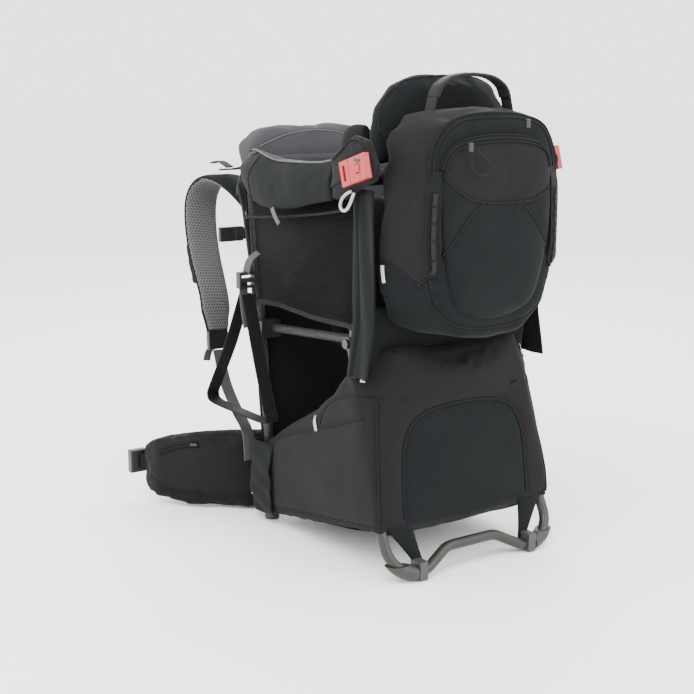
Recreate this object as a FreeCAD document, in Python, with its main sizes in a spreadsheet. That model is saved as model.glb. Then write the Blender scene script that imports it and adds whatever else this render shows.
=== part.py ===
"""Framed child carrier backpack: tube frame with a folding stand, fabric base, cockpit, harness and daypack.

Frame: +Z up, +Y towards the wearer, +X to the wearer's right.  The origin lies on the floor under the
middle of the carrier.  Lengths are in millimetres.
"""
import FreeCAD, Part
import Sketcher
import math
import os
import re

Vector = FreeCAD.Vector

SIZES = {
    "origin_shift": 1.65,       # moves the whole carrier along Y so that the origin is under its middle
    # frame
    "frame_half_width": 142,    # centre of an upright from the middle plane
    "tube_radius": 8,
    "strut_radius": 7,
    "wall": 1.5,
    "foot_front": 71,           # Y of the frame's feet
    "lean": 56,                 # how far the uprights lean forward over their length
    "rail_height": 588,         # centre of the top rails
    "hoop_back": -215,          # Y of the rear hoop
    "bend_radius": 50,
    "seat_frame_height": 338,
    "seat_frame_back": -165,
    "crossbar_low": 45,
    "crossbar_high": 430,
    "foot_radius": 12,
    "foot_height": 36,
    # kickstand
    "pivot_back": -180,
    "pivot_height": 340,
    "stand_back": -285,         # Y where the stand meets the floor
    "stand_clearance": 12,      # a leg's centre outside the upright's centre
    "knee_back": -250,          # where a leg bends rearwards, just above the base's lower edge
    "knee_height": 82,
    "stand_bend": 45,
    "stand_arch": 26,
    "pin_radius": 4,
    "pin_clearance": 0.08,
    # gaps
    "fit_gap": 0.5,
    "body_gap": 1.5,
    # fabric shells and pads
    "skin": 3,
    "base_clearance": 24,       # the base's side outside the upright's centre
    "base_back": -268,
    "base_top": 336,
    "panel_thickness": 12,
    "panel_top": 560,
    "lumbar_half_width": 98,
    "lumbar_thickness": 30,
    "rim_height": 606,
    "rim_drop": 90,
    "rim_thickness": 12,
    "head_top": 730,
    "head_clearance": 14,       # the headrest's side inside the upright's centre
    "pad_thickness": 30,
    # harness
    "strap_width": 62,
    "strap_thickness": 14,
    "strap_pocket_depth": 14,
    "webbing_width": 20,
    "webbing": 2,
    # hipbelt
    "wing_height": 132,
    "wing_thickness": 40,
    "belt_width": 40,
    # seat
    "seat_half_width": 85,
    "seat_pad": 14,
    # daypack
    "daypack_depth": 88,
    "daypack_half_width": 148,
    "daypack_bottom": 352,
    "daypack_height": 334,
    "pocket_depth": 12,
    "zip_size": 4,
    # buckles
    "buckle_length": 40,
    "buckle_width": 36,
    "buckle_height": 10,
    "tongue_thickness": 4,
    # pull loops
    "side_pull_size": 4.5,
    "pocket_pull_size": 2.6,
}

doc = FreeCAD.newDocument("carrier")
sheet = doc.addObject("Spreadsheet::Sheet", "sizes")
for row, (alias, value) in enumerate(SIZES.items(), start=1):
    sheet.set(f"A{row}", alias)
    sheet.set(f"B{row}", str(value))
    sheet.setAlias(f"B{row}", alias)
doc.recompute()

nodes = []


def size(alias):
    """A value from the sheet."""
    return float(sheet.get(alias))


def bound(text):
    """An expression in which each size's name points at the sheet."""
    return re.sub(r"[a-z_]{3,}", lambda m: f"sizes.{m[0]}" if m[0] in SIZES else m[0], str(text))


def bind(obj, prop, text):
    obj.setExpression(prop, bound(text))


def place(obj, x=0, y=0, z=0, label=None):
    """Bind an object's place; one that is a node of its own gets its label and the shift to the origin."""
    bind(obj, "Placement.Base.x", x)
    bind(obj, "Placement.Base.y", f"{y} + origin_shift" if label else y)
    bind(obj, "Placement.Base.z", z)
    if label:
        obj.Label = label
        nodes.append(obj)
    return obj


def box(x, y, z, length, width, height, label=None):
    """A box from its low corner, bound to the sheet."""
    obj = doc.addObject("Part::Box", "Box")
    for prop, text in (("Length", length), ("Width", width), ("Height", height)):
        bind(obj, prop, text)
    return place(obj, x, y, z, label)


AXIS_TURN = {
    "x": FreeCAD.Rotation(Vector(0, 1, 0), 90),
    "y": FreeCAD.Rotation(Vector(1, 0, 0), -90),
    "z": FreeCAD.Rotation(),
}


def cylinder(axis, x, y, z, radius, height, label=None):
    """A cylinder that starts at a point and runs along +X, +Y or +Z, bound to the sheet."""
    obj = doc.addObject("Part::Cylinder", "Cylinder")
    obj.Placement = FreeCAD.Placement(Vector(), AXIS_TURN[axis])
    bind(obj, "Radius", radius)
    bind(obj, "Height", height)
    return place(obj, x, y, z, label)


def boolean(kind, parts, label=None):
    """Part::Cut, Part::MultiFuse or Part::MultiCommon of other objects."""
    obj = doc.addObject(kind, kind.split("::")[1])
    if kind == "Part::Cut":
        obj.Base, obj.Tool = parts
    else:
        obj.Shapes = parts
    return place(obj, label=label)


def mirrored(source, label=None):
    """The other side's copy of a right-hand piece."""
    obj = doc.addObject("Part::Mirroring", "Mirror")
    obj.Source = source
    obj.Normal = Vector(1, 0, 0)
    if label:
        obj.Label = label
        nodes.append(obj)
    return obj


def pair(build, name):
    """Build a right-hand node and its mirror image as two nodes."""
    mirrored(build(f"{name}_right"), f"{name}_left")


def group(build, name):
    """Build a right-hand piece and its mirror image as the two solids of one node."""
    right = build(None)
    both = doc.addObject("Part::Compound", "Group")
    both.Links = [right, mirrored(right)]
    return place(both, label=name)


PLANE_ROLE = {"yz": "YZ_Plane", "xz": "XZ_Plane", "xy": "XY_Plane"}


def prism(plane, outline, start, depth, label=None, fillet=None):
    """A padded sketch: an outline of (across, up) expressions, padded from start along the plane's axis."""
    body = doc.addObject("PartDesign::Body", "Body")
    sketch = body.newObject("Sketcher::SketchObject", "Sketch")
    role = PLANE_ROLE[plane]
    origin_plane = [f for f in body.Origin.OriginFeatures if f.Role == role][0]
    sketch.AttachmentSupport = [(origin_plane, "")]
    sketch.MapMode = "FlatFace"
    corners = [Vector(*[sheet_value(text) for text in corner], 0) for corner in outline]
    count = len(corners)
    for i in range(count):
        sketch.addGeometry(Part.LineSegment(corners[i], corners[(i + 1) % count]))
    for i in range(count):
        sketch.addConstraint(Sketcher.Constraint("Coincident", i, 2, (i + 1) % count, 1))
    for i, corner in enumerate(outline):
        for kind, text, value in zip(("DistanceX", "DistanceY"), corner, corners[i]):
            number = sketch.addConstraint(Sketcher.Constraint(kind, -1, 1, i, 1, value))
            bind(sketch, f"Constraints[{number}]", text)
    pad = body.newObject("PartDesign::Pad", "Pad")
    pad.Profile = sketch
    bind(pad, "Length", depth)
    pad.Reversed = plane == "xz"
    body.Tip = pad
    if fillet:
        doc.recompute()
        rounded = body.newObject("PartDesign::Fillet", "Fillet")
        rounded.Base = (pad, [f"Edge{i + 1}" for i in range(len(pad.Shape.Edges))])
        bind(rounded, "Radius", fillet)
        body.Tip = rounded
    shift = {"yz": (start, 0, 0), "xz": (0, start, 0), "xy": (0, 0, start)}[plane]
    return place(body, *shift, label=label)


def sheet_value(text):
    """The present value of an expression."""
    names = {alias: size(alias) for alias in SIZES}
    numbers = re.sub(r"[a-z_]{3,}", lambda found: repr(names[found[0]]), str(text))
    return float(FreeCAD.Units.parseQuantity(numbers).Value)


def feature(shape, label):
    """A node whose shape is made with Part's own functions."""
    obj = doc.addObject("Part::Feature", "Feature")
    obj.Shape = shape
    return place(obj, label=label)


def route(points, radius):
    """Straight runs joined by tangent arcs; radius is one value or one for each inner point."""
    points = [Vector(*p) for p in points]
    radii = radius if isinstance(radius, (list, tuple)) else [radius] * (len(points) - 2)
    edges = []
    last = points[0]
    for before, corner, after, bend in zip(points, points[1:], points[2:], radii):
        inward = (before - corner).normalize()
        outward = (after - corner).normalize()
        half_turn = (math.pi - inward.getAngle(outward)) / 2
        setback = bend * math.tan(half_turn)
        first = corner + inward * setback
        second = corner + outward * setback
        bisector = (inward + outward).normalize()
        middle = corner + bisector * (bend / math.cos(half_turn) - bend)
        edges.append(Part.LineSegment(last, first).toShape())
        edges.append(Part.Arc(first, middle, second).toShape())
        last = second
    edges.append(Part.LineSegment(last, points[-1]).toShape())
    return Part.Wire(edges)


def rod(points, radius, bend):
    """A round bar swept along a route."""
    path = route(points, bend)
    start = path.OrderedEdges[0]
    direction = start.tangentAt(start.FirstParameter)
    circle = Part.Wire(Part.makeCircle(radius, Vector(*points[0]), direction))
    return path.makePipeShell([circle], True, True)


def pipe(points, radius, bend, wall):
    """A round tube: a bar with a smaller bar taken out of it."""
    return rod(points, radius, bend).cut(rod(points, radius - wall, bend))


def bar(start, end, radius):
    """A straight round bar between two points."""
    run = Vector(*end) - Vector(*start)
    return Part.makeCylinder(radius, run.Length, Vector(*start), run)


def ribbon(points, width, thickness, across=(1, 0, 0), offset=0):
    """A flat band through points: its width lies along across, its thickness square to its path."""
    points = [Vector(*p) for p in points]
    across = Vector(*across).normalize()
    rings = []
    for i, point in enumerate(points):
        ahead = points[min(i + 1, len(points) - 1)] - point
        behind = point - points[max(i - 1, 0)]
        tangents = [v.normalize() for v in (behind, ahead) if v.Length > 0]
        tangent = sum(tangents[1:], tangents[0])
        normal = across.cross(tangent).normalize()
        stretch = 1 / max(0.6, normal.dot(across.cross(tangents[0]).normalize()))
        middle = point + normal * offset * stretch
        side = across * (width / 2)
        face = normal * (thickness / 2 * stretch)
        rings.append([middle - side - face, middle + side - face, middle + side + face, middle - side + face])
    walls = []
    for here, there in zip(rings, rings[1:]):
        for i in range(4):
            k = (i + 1) % 4
            near_edge = Part.makeLine(here[i], here[k])
            far_edge = Part.makeLine(there[i], there[k])
            walls.append(Part.makeRuledSurface(near_edge, far_edge))
    caps = [Part.Face(Part.makePolygon(ring + ring[:1])) for ring in (rings[0], rings[-1])]
    shell = Part.makeShell(walls + caps)
    shell.sewShape()
    band = Part.makeSolid(shell)
    if band.Volume < 0:
        band.reverse()
    return band


def plate(points, thickness):
    """A flat face through points, thickened along a vector."""
    corners = [Vector(*p) for p in points]
    return Part.Face(Part.makePolygon(corners + corners[:1])).extrude(Vector(*thickness))


def arc_points(centre, across, up, start, end, steps):
    """Points on an ellipse in the XZ plane, from one angle in degrees to another."""
    angles = [math.radians(start + (end - start) * i / steps) for i in range(steps + 1)]
    return [(centre[0] + across * math.cos(a), centre[1], centre[2] + up * math.sin(a)) for a in angles]


# ---------------------------------------------------------------- frame

half = size("frame_half_width")
tube = size("tube_radius")
strut = size("strut_radius")
wall = size("wall")
fit = size("fit_gap")
gap = size("body_gap")
rail = size("rail_height")
bend = size("bend_radius")
foot_y = size("foot_front")
UPRIGHT_START = 70      # height where the uprights begin to lean
UPRIGHT_END = 6         # the tube ends this far above the floor, inside its foot


def upright_y(z):
    """Y of an upright's centre at a height."""
    return foot_y + size("lean") * (z - UPRIGHT_START) / (rail - UPRIGHT_START)


def main_frame():
    """One bent tube: foot, upright, top rail, round the rear hoop and back down to the other foot."""
    right = [
        (half, foot_y, UPRIGHT_END),
        (half, foot_y, UPRIGHT_START),
        (half, upright_y(rail), rail),
        (half, size("hoop_back"), rail),
    ]
    left = [(-x, y, z) for x, y, z in reversed(right)]
    return feature(pipe(right + left, tube, bend, wall), "main_frame")


def frame_crossbars():
    """The two straight struts between the uprights."""
    reach = half - tube - fit
    bars = []
    for height in (size("crossbar_low"), size("crossbar_high")):
        y = upright_y(height) if height > UPRIGHT_START else foot_y
        bars.append(bar((-reach, y, height), (reach, y, height), strut))
    return feature(Part.makeCompound(bars), "frame_crossbars")


def seat_frame_points():
    x = half - tube - fit - strut
    front = size("seat_frame_height") - 20
    right = [(x, upright_y(front), front), (x, size("seat_frame_back"), size("seat_frame_height"))]
    return right + [(-x, y, z) for x, y, z in reversed(right)]


def seat_frame():
    """The tube under the child's seat, from one upright round the back to the other."""
    return feature(pipe(seat_frame_points(), strut, bend, wall), "seat_frame")


def frame_clamp(label):
    """A moulded block that holds the end of the seat tube against the upright."""
    x, y, z = seat_frame_points()[0]
    block = Part.makeBox(36, 26, 28, Vector(x - 10.5, y - 18, z - 14))
    upright = bar((half, foot_y, UPRIGHT_START), (half, upright_y(rail), rail), tube)
    seat_tube = rod(seat_frame_points(), strut, bend)
    return feature(block.cut(upright).cut(seat_tube), label)


def rear_stay(label):
    """A strut from the seat tube up to the top rail."""
    y = size("hoop_back") + bend + 15
    low = (half - tube - fit - strut, y, size("seat_frame_height") + strut + fit)
    high = (half - 3, y, rail - tube - fit)
    return feature(bar(low, high, strut - 1), label)


def frame_foot(label):
    """A round moulded cup under an upright."""
    outside = cylinder("z", "frame_half_width", "foot_front", 0, "foot_radius", "foot_height")
    bore = cylinder("z", "frame_half_width", "foot_front", UPRIGHT_END - 1, "tube_radius", "foot_height")
    return boolean("Part::Cut", [outside, bore], label)


main_frame()
frame_crossbars()
seat_frame()
group(frame_clamp, "frame_clamps")
group(rear_stay, "rear_stays")
group(frame_foot, "frame_feet")

# ---------------------------------------------------------------- kickstand

pivot = (size("pivot_back"), size("pivot_height"))
stand_x = size("frame_half_width") + size("stand_clearance")
stand_y = size("stand_back")
stand_z = size("foot_radius")


knee = (size("knee_back"), size("knee_height"))


def stand_point(x, rise):
    """A point in the plane of the stand's foot, so far up it from the floor line."""
    run = Vector(0, knee[0] - stand_y, knee[1] - stand_z)
    run.normalize()
    return (x, stand_y + run.y * rise, stand_z + run.z * rise)


def stand_points():
    arch = size("stand_arch")
    right = [
        (stand_x, *pivot),
        (stand_x, *knee),
        stand_point(stand_x, 0),
        stand_point(stand_x * 0.6, 0),
        stand_point(stand_x * 0.3, arch),
    ]
    return right + [(-x, y, z) for x, y, z in reversed(right)]


STAND_BENDS = [80, size("stand_bend"), 40, 40, 40, 40, size("stand_bend"), 80]


def kickstand_tube():
    """The bent stand tube, drilled at its top ends for the pivot pins."""
    solid = rod(stand_points(), tube, STAND_BENDS)
    bore = rod(stand_points(), tube - wall, STAND_BENDS)
    hole = size("pin_radius") + size("pin_clearance")
    for side in (-1, 1):
        x = side * stand_x
        eye = bar((x - tube + 0.5, *pivot), (x + tube - 0.5, *pivot), tube + 2)
        drill = bar((x - 2 * tube, *pivot), (x + 2 * tube, *pivot), hole)
        solid = solid.fuse(eye).cut(drill)
        bore = bore.cut(bar((x - tube, *pivot), (x + tube, *pivot), tube + 1))
    return feature(solid.cut(bore), "kickstand_tube")


def kickstand_foot(label):
    """A moulded cap round the lower part of the stand's bottom corner."""
    rise = size("stand_bend") + 14
    run = [stand_point(stand_x, rise), stand_point(stand_x, 0), stand_point(stand_x * 0.68, 0)]
    solid = rod(run, size("foot_radius"), size("stand_bend"))
    reach = Part.makeBox(60, 90, 28, Vector(stand_x * 0.74, stand_y - 45, -1))
    return feature(solid.common(reach).cut(rod(stand_points(), tube, STAND_BENDS)), label)


def gusset_clip(label):
    """A clip on the stand's crossbar that holds the end of a fabric gusset."""
    x, y, z = stand_point(stand_x * 0.6, 0)
    block = Part.makeBox(14, 24, 28, Vector(x + 6, y - 11, z - 10.5))
    return feature(block.cut(rod(stand_points(), tube, STAND_BENDS)), label)


def gusset(label):
    """The fabric tongue from the base's lower corner to the clip."""
    x, y, z = stand_point(stand_x * 0.6, 0)
    low_y, low_z = y + 12, z + 18.5
    top_y, top_z = size("base_back") + 6, 67
    corners = [
        (x + 7, low_y, low_z),
        (x + 19, low_y, low_z),
        (stand_x - 11, top_y, top_z),
        (x - 4, top_y, top_z),
    ]
    return feature(plate(corners, (0, -2, 0)), label)


def kickstand_bracket(label):
    """The plate on the seat tube that carries the stand's pivot."""
    plate_box = box("frame_half_width - tube_radius", "pivot_back - 20", "pivot_height - 13",
                    "stand_clearance - body_gap", 40, 31)
    hole = cylinder("x", "frame_half_width - 3 * tube_radius", "pivot_back", "pivot_height", "pin_radius", 60)
    return boolean("Part::Cut", [plate_box, hole], label)


def kickstand_pins():
    """The two pivot pins with their heads."""
    pieces = []
    for side in (-1, 1):
        inner = side * (half - tube + 1)
        outer = side * (stand_x + tube + gap)
        shank = bar((inner, *pivot), (outer, *pivot), size("pin_radius"))
        head = bar((outer, *pivot), (outer + side * 3, *pivot), size("pin_radius") + 3)
        pieces.append(shank.fuse(head).removeSplitter())
    return feature(Part.makeCompound(pieces), "kickstand_pins")


kickstand_tube()
group(kickstand_foot, "kickstand_feet")
group(gusset_clip, "gusset_clips")
group(gusset, "gussets")
group(kickstand_bracket, "kickstand_brackets")
kickstand_pins()

# ---------------------------------------------------------------- fabric base and back


def base_compartment():
    """The lower bag: trimmed at its upper rear corners, with a slot on each side for the stand's leg."""
    side = prism("yz", [
        ("foot_front - 16", 14),
        ("foot_front - 100", 27),
        ("base_back", 70),
        ("base_back + 29", "base_top"),
        ("base_back + 54", "base_top"),
        ("base_back + 134", "base_top - 69"),
        ("base_back + 187", "base_top - 115"),
        ("foot_front - 63", "base_top - 165"),
        ("foot_front - 16", "base_top - 200"),
    ], "-frame_half_width - base_clearance", "2 * (frame_half_width + base_clearance)", fillet=4)
    trims = [corner_trim(side) for side in (-1, 1)]
    slots = [leg_slot(side) for side in (-1, 1)]
    return boolean("Part::Cut", [side, boolean("Part::MultiFuse", trims + slots)], "base_compartment")


def corner_trim(side):
    """What the upper rear corner lacks: all that lies beyond a sloping plane."""
    wide = side * (size("frame_half_width") + size("base_clearance"))
    back = size("base_back")
    high = size("base_top") + 4
    low = Vector(wide, back, 90)
    inner = Vector(wide - side * 56, back + 29, high)
    outer = Vector(wide, back + 88, high)
    up = (inner + outer) * 0.5 - low
    along = outer - inner
    corners = [low + up * k + along * j for k, j in ((-0.1, -2), (1.4, -2), (1.4, 2), (-0.1, 2))]
    outward = up.cross(along).normalize()
    if outward.x * side < 0:
        outward = -outward
    trim = doc.addObject("Part::Feature", "Trim")
    trim.Shape = plate(corners, outward * 120)
    return trim


def leg_slot(side):
    """The space that a leg of the stand swings in, open above and below."""
    inner = "frame_half_width + stand_clearance - tube_radius - 2"
    width = f"frame_half_width + base_clearance - 2.5 - ({inner})"
    x = inner if side > 0 else f"-({inner}) - ({width})"
    return box(x, "base_back + 2.5", -10, width, "foot_front - base_back - 130", "base_top + 60")


SKIN_X = "frame_half_width + tube_radius + 5"


def base_side(label):
    """The fabric that wraps the foot of an upright."""
    outline = [
        ("foot_front - 15", 14),
        ("foot_front + 20", 10),
        ("foot_front + 28", "base_top - 218"),
        ("foot_front - 15", "base_top - 200"),
    ]
    return prism("yz", outline, "frame_half_width + base_clearance - skin", "skin", label, "skin / 3")


def panel_y(offset, z):
    """An expression for Y on the back panel's slope, offset forward of the uprights' centres."""
    start = UPRIGHT_START
    return f"foot_front + {offset} + lean * ({z} - {start}) / (rail_height - {start})"


def back_panel():
    """The panel against the wearer's back, in front of the uprights."""
    low, high = "60", "panel_top"
    rear = "tube_radius + fit_gap + 1"
    outline = [
        (panel_y(rear, low), low),
        (panel_y(f"{rear} + panel_thickness", low), low),
        (panel_y(f"{rear} + panel_thickness", high), high),
        (panel_y(rear, high), high),
    ]
    return prism("yz", outline, "-frame_half_width - tube_radius", "2 * (frame_half_width + tube_radius)",
                 "back_panel", 3)


def lumbar_pad():
    """The thick pad low on the back panel."""
    rear = "tube_radius + 2 * fit_gap + 1.3 + panel_thickness"
    front = f"{rear} + lumbar_thickness"
    outline = [
        (panel_y(rear, 88), 88),
        (panel_y(front, 96), 96),
        (panel_y(front, 200), 200),
        (panel_y(rear, 216), 216),
    ]
    return prism("yz", outline, "-lumbar_half_width", "2 * lumbar_half_width", "lumbar_pad", 8)


base_compartment()
group(base_side, "base_sides")
back_panel()
lumbar_pad()

# ---------------------------------------------------------------- cockpit


def side_mesh(label):
    """The mesh wall of the cockpit, above the leg opening."""
    outline = [
        ("foot_front + lean + 9", "panel_top - 5"),
        ("foot_front + 33", "seat_frame_height + 28"),
        ("foot_front - 40", "seat_frame_height + 31"),
        ("foot_front - 136", "seat_frame_height + 26"),
        ("pivot_back + 60", "pivot_height + 24"),
        ("pivot_back - 10", "pivot_height + 26"),
        ("pivot_back - 12", "panel_top - 11"),
    ]
    return prism("yz", outline, SKIN_X, "skin", label)


def rear_side(label):
    """The plain fabric strip between the mesh and the daypack."""
    outline = [
        ("pivot_back - 11", "pivot_height + 26"),
        ("pivot_back - 13", "panel_top - 11"),
        ("pivot_back - 44", "panel_top - 11"),
        ("pivot_back - 44", "pivot_height + 26"),
    ]
    return prism("yz", outline, SKIN_X, "skin", label)


def cockpit_rim(label):
    """The padded rim over a top rail: an arch in section, open below for the tube."""
    inner = "frame_half_width - tube_radius - 2"
    outer = f"{SKIN_X} + skin + 1"
    outline = [
        (f"{inner} - 10", "rim_height - 44"),
        (inner, "rim_height - 44"),
        (inner, "rail_height + tube_radius + 2"),
        (outer, "rail_height + tube_radius + 2"),
        (outer, "rim_height - rim_drop"),
        (f"{outer} + rim_thickness", "rim_height - rim_drop"),
        (f"{outer} + rim_thickness", "rim_height - 14"),
        (f"{outer} + rim_thickness - 10", "rim_height"),
        (f"{inner} - 4", "rim_height"),
        (f"{inner} - 10", "rim_height - 6"),
    ]
    start = "hoop_back + bend_radius + 14"
    length = "foot_front + lean - hoop_back - bend_radius - 1"
    return prism("xz", outline, start, length, label)


def rim_corner(label):
    """The rim's rear end, which flares past the daypack and carries the side buckle."""
    front = "hoop_back + bend_radius + 13"
    outline = [
        (front, "rim_height - 60"),
        ("hoop_back + 25", "rim_height - 58"),
        ("hoop_back - 7", "rim_height - 40"),
        ("hoop_back - 41", "rim_height - 26"),
        ("hoop_back - 47", "rim_height - 6"),
        ("hoop_back - 25", "rim_height + 30"),
        ("hoop_back + 10", "rim_height + 36"),
        ("hoop_back + 40", "rim_height + 16"),
        (front, "rim_height + 4"),
    ]
    return prism("yz", outline, f"{SKIN_X} + skin + 1", "rim_thickness", label, 3)


def drool_pad():
    """The soft pad in front of the child's face."""
    outline = [
        ("foot_front + lean + 16", "panel_top + 2"),
        ("foot_front + lean + 20", "rim_height - 4"),
        ("foot_front + lean + 36", "rim_height + 34"),
        ("foot_front + lean + 62", "rim_height + 42"),
        ("foot_front + lean + 73", "rim_height + 28"),
        ("foot_front + lean + 66", "rim_height - 10"),
        ("foot_front + lean + 50", "panel_top + 2"),
    ]
    side = prism("yz", outline, "14 - frame_half_width", "2 * (frame_half_width - 14)", fillet=5)
    arch = prism("xz", [
        ("14 - frame_half_width", "panel_top"),
        ("frame_half_width - 14", "panel_top"),
        ("frame_half_width - 14", "rim_height + 10"),
        ("frame_half_width - 44", "rim_height + 30"),
        ("frame_half_width - 92", "rim_height + 43"),
        ("92 - frame_half_width", "rim_height + 43"),
        ("44 - frame_half_width", "rim_height + 30"),
        ("14 - frame_half_width", "rim_height + 10"),
    ], "foot_front + lean", 90)
    return boolean("Part::MultiCommon", [side, arch], "drool_pad")


def headrest():
    """The padded head wall behind the child, in front of the rear hoop."""
    wide = "(frame_half_width - head_clearance)"
    outline = [
        (f"-{wide}", "rail_height + 12"),
        (wide, "rail_height + 12"),
        (f"{wide} + 1", "head_top - 85"),
        (f"{wide} - 10", "head_top - 50"),
        (f"{wide} - 38", "head_top - 18"),
        (f"{wide} - 72", "head_top - 4"),
        (0, "head_top"),
        (f"72 - {wide}", "head_top - 4"),
        (f"38 - {wide}", "head_top - 18"),
        (f"10 - {wide}", "head_top - 50"),
        (f"-{wide} - 1", "head_top - 85"),
    ]
    return prism("xz", outline, "hoop_back + tube_radius + 3", "pad_thickness", "headrest", 8)


pair(side_mesh, "side_mesh")
group(rear_side, "rear_sides")
group(cockpit_rim, "cockpit_rims")
group(rim_corner, "rim_corners")
drool_pad()
headrest()

# ---------------------------------------------------------------- side buckles

BUCKLE_TILT = FreeCAD.Rotation(Vector(1, 0, 0), -16)


def tilt_buckle(obj):
    """Give a buckle piece its place on the rim's rear corner, tilted with the strap it closes."""
    bind(obj, "Placement.Base.x", f"{SKIN_X} + skin + rim_thickness + 1.5")
    bind(obj, "Placement.Base.y", "hoop_back + 2 + origin_shift")
    bind(obj, "Placement.Base.z", "rim_height - 15")
    obj.Placement.Rotation = BUCKLE_TILT
    return obj


def side_buckle(label):
    """The housing: a flat box with a slot for the tongue and a window for the button."""
    shell = box(0, "-buckle_length", "-buckle_width / 2", "buckle_height", "buckle_length", "buckle_width")
    slot_low = "(buckle_height - tongue_thickness) / 2 - fit_gap"
    slot = box(slot_low, "4 - buckle_length", "5 - buckle_width / 2", "tongue_thickness + 2 * fit_gap",
               "buckle_length", "buckle_width - 10")
    window = box("buckle_height / 2", "-buckle_length / 2 - 6", -6, "buckle_height", 12, 12)
    inside = boolean("Part::MultiFuse", [slot, window])
    return tilt_buckle(boolean("Part::Cut", [shell, inside], label))


def side_tongue(label):
    """The tongue: a plate in the slot, and outside it a wider bar with a webbing slot."""
    low = "(buckle_height - tongue_thickness) / 2"
    tongue = box(low, "6 - buckle_length", "5 - buckle_width / 2 + fit_gap", "tongue_thickness",
                 "buckle_length - 6 + fit_gap * 2", "buckle_width - 10 - 2 * fit_gap")
    bar_box = box(0, "fit_gap", "-buckle_width / 2", "buckle_height", 22, "buckle_width")
    catch_hole = box(0, "-buckle_length / 2 - 7", -7, "buckle_height", 14, 14)
    web_slot = box(-1, 10, "7 - buckle_width / 2", "buckle_height + 2", 6, "buckle_width - 14")
    solid = boolean("Part::MultiFuse", [tongue, bar_box])
    holes = boolean("Part::MultiFuse", [catch_hole, web_slot])
    return tilt_buckle(boolean("Part::Cut", [solid, holes], label))


def side_button(label):
    """The square release button in the housing's window."""
    button = box("buckle_height - 2", "-buckle_length / 2 - 5.5", -5.5, 3, 11, 11)
    rib = box("buckle_height - 2", "-buckle_length / 2 - 2", -2, 3.6, 4, 4)
    return tilt_buckle(boolean("Part::MultiFuse", [button, rib], label))


pair(side_buckle, "side_buckle")
pair(side_tongue, "side_tongue")
pair(side_button, "side_button")

# ---------------------------------------------------------------- harness

strap_width = size("strap_width")
strap_thick = size("strap_thickness")
web = size("webbing")
web_width = size("webbing_width")
rim = size("rim_height")
lean_front = foot_y + size("lean")


def harness_yoke():
    """The plate on the back panel from which both shoulder straps start."""
    rear = "tube_radius + 2.5 * fit_gap + 2 + panel_thickness"
    outline = [
        (panel_y(rear, "rim_height - 226"), "rim_height - 226"),
        (panel_y(f"{rear} + 9", "rim_height - 226"), "rim_height - 226"),
        (panel_y(f"{rear} + 9", "rim_height - 140"), "rim_height - 140"),
        (panel_y(rear, "rim_height - 140"), "rim_height - 140"),
    ]
    return prism("yz", outline, -78, 156, "harness_yoke", 2)


def strap_line():
    """The right shoulder strap's middle line, from the yoke over the shoulder and down."""
    front = lean_front
    return [
        (56, front + 24, rim - 180),
        (63, front + 36, rim - 152),
        (73, front + 62, rim - 121),
        (84, front + 88, rim - 93),
        (95, front + 118, rim - 69),
        (106, front + 147, rim - 58),
        (115, front + 170, rim - 59),
        (122, front + 189, rim - 72),
        (127, front + 198, rim - 94),
        (132, front + 194, rim - 124),
        (138, front + 178, rim - 160),
        (144, front + 156, rim - 193),
        (149, front + 132, rim - 224),
        (153, front + 110, rim - 256),
        (156, front + 98, rim - 296),
    ]


def shoulder_strap(label):
    """A padded strap with a short root that meets the yoke's front face."""
    return feature(ribbon(strap_line(), strap_width, strap_thick), label)


def strap_pocket():
    """The stretch pocket on the outer face of the left strap."""
    line = [(-x, y, z) for x, y, z in strap_line()[10:13]]
    thick = size("strap_pocket_depth")
    return feature(ribbon(line, strap_width - 12, thick, offset=(strap_thick + thick) / 2 + gap), "strap_pocket")


def strap_end(label):
    """The moulded end piece that takes the lower webbing."""
    x, y, z = strap_line()[-1]
    run = [(x, y - 0.5, z - 3), (x + 1, y - 5, z - 46)]
    return feature(ribbon(run, strap_width - 24, 10), label)


def lower_strap(label):
    """The webbing from the strap's end down to the frame's foot."""
    x, y, z = strap_line()[-1]
    front = foot_y + 33
    line = [(x + 2, y - 8, z - 47.5), (x + 3, y - 34, z - 106), (x + 6, y - 76, z - 143),
            (half + 21, front + 6, 144), (half + 22, front, 95)]
    return feature(ribbon(line, web_width, web), label)


def load_lifter(label):
    """The webbing from the strap's crest back to the top of the frame."""
    front = lean_front
    line = [(104, front + 158, rim - 44), (100, front + 120, rim - 40), (98, front + 84, rim - 32)]
    return feature(ribbon(line, web_width, web), label)


def sternum_line():
    x, y, z = strap_line()[10]
    return x - strap_width / 2 - 6, y + 4, z + 2


def sternum_buckle():
    """The socket on the left strap's short webbing."""
    x, y, z = sternum_line()
    shell = Part.makeBox(30, 10, 26, Vector(-x, y - 5, z - 13))
    slot = Part.makeBox(24, 5, 18, Vector(-x + 8, y - 2.5, z - 9))
    return feature(shell.cut(slot), "sternum_buckle")


def sternum_tongue():
    """The plug that snaps into the sternum socket."""
    x, y, z = sternum_line()
    prongs = Part.makeBox(20, 4, 16, Vector(-x + 10.6, y - 2, z - 8))
    head = Part.makeBox(16, 10, 26, Vector(-x + 30.6, y - 5, z - 13))
    return feature(prongs.fuse(head).removeSplitter(), "sternum_tongue")


def sternum_webbing():
    """The webbing from the plug to the right strap."""
    x, y, z = sternum_line()
    corner = Vector(-x + 47.2, y - web / 2, z - web_width / 2)
    return feature(Part.makeBox(2 * x - 48, web, web_width, corner), "sternum_webbing")


harness_yoke()
pair(shoulder_strap, "shoulder_strap")
strap_pocket()
group(strap_end, "strap_ends")
group(lower_strap, "lower_straps")
group(load_lifter, "load_lifters")
sternum_buckle()
sternum_tongue()
sternum_webbing()

# ---------------------------------------------------------------- hipbelt

HINGE_X = "lumbar_half_width + wing_thickness / 2 + 4"
HINGE_Y = "foot_front + wing_thickness / 2 + 37"


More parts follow.
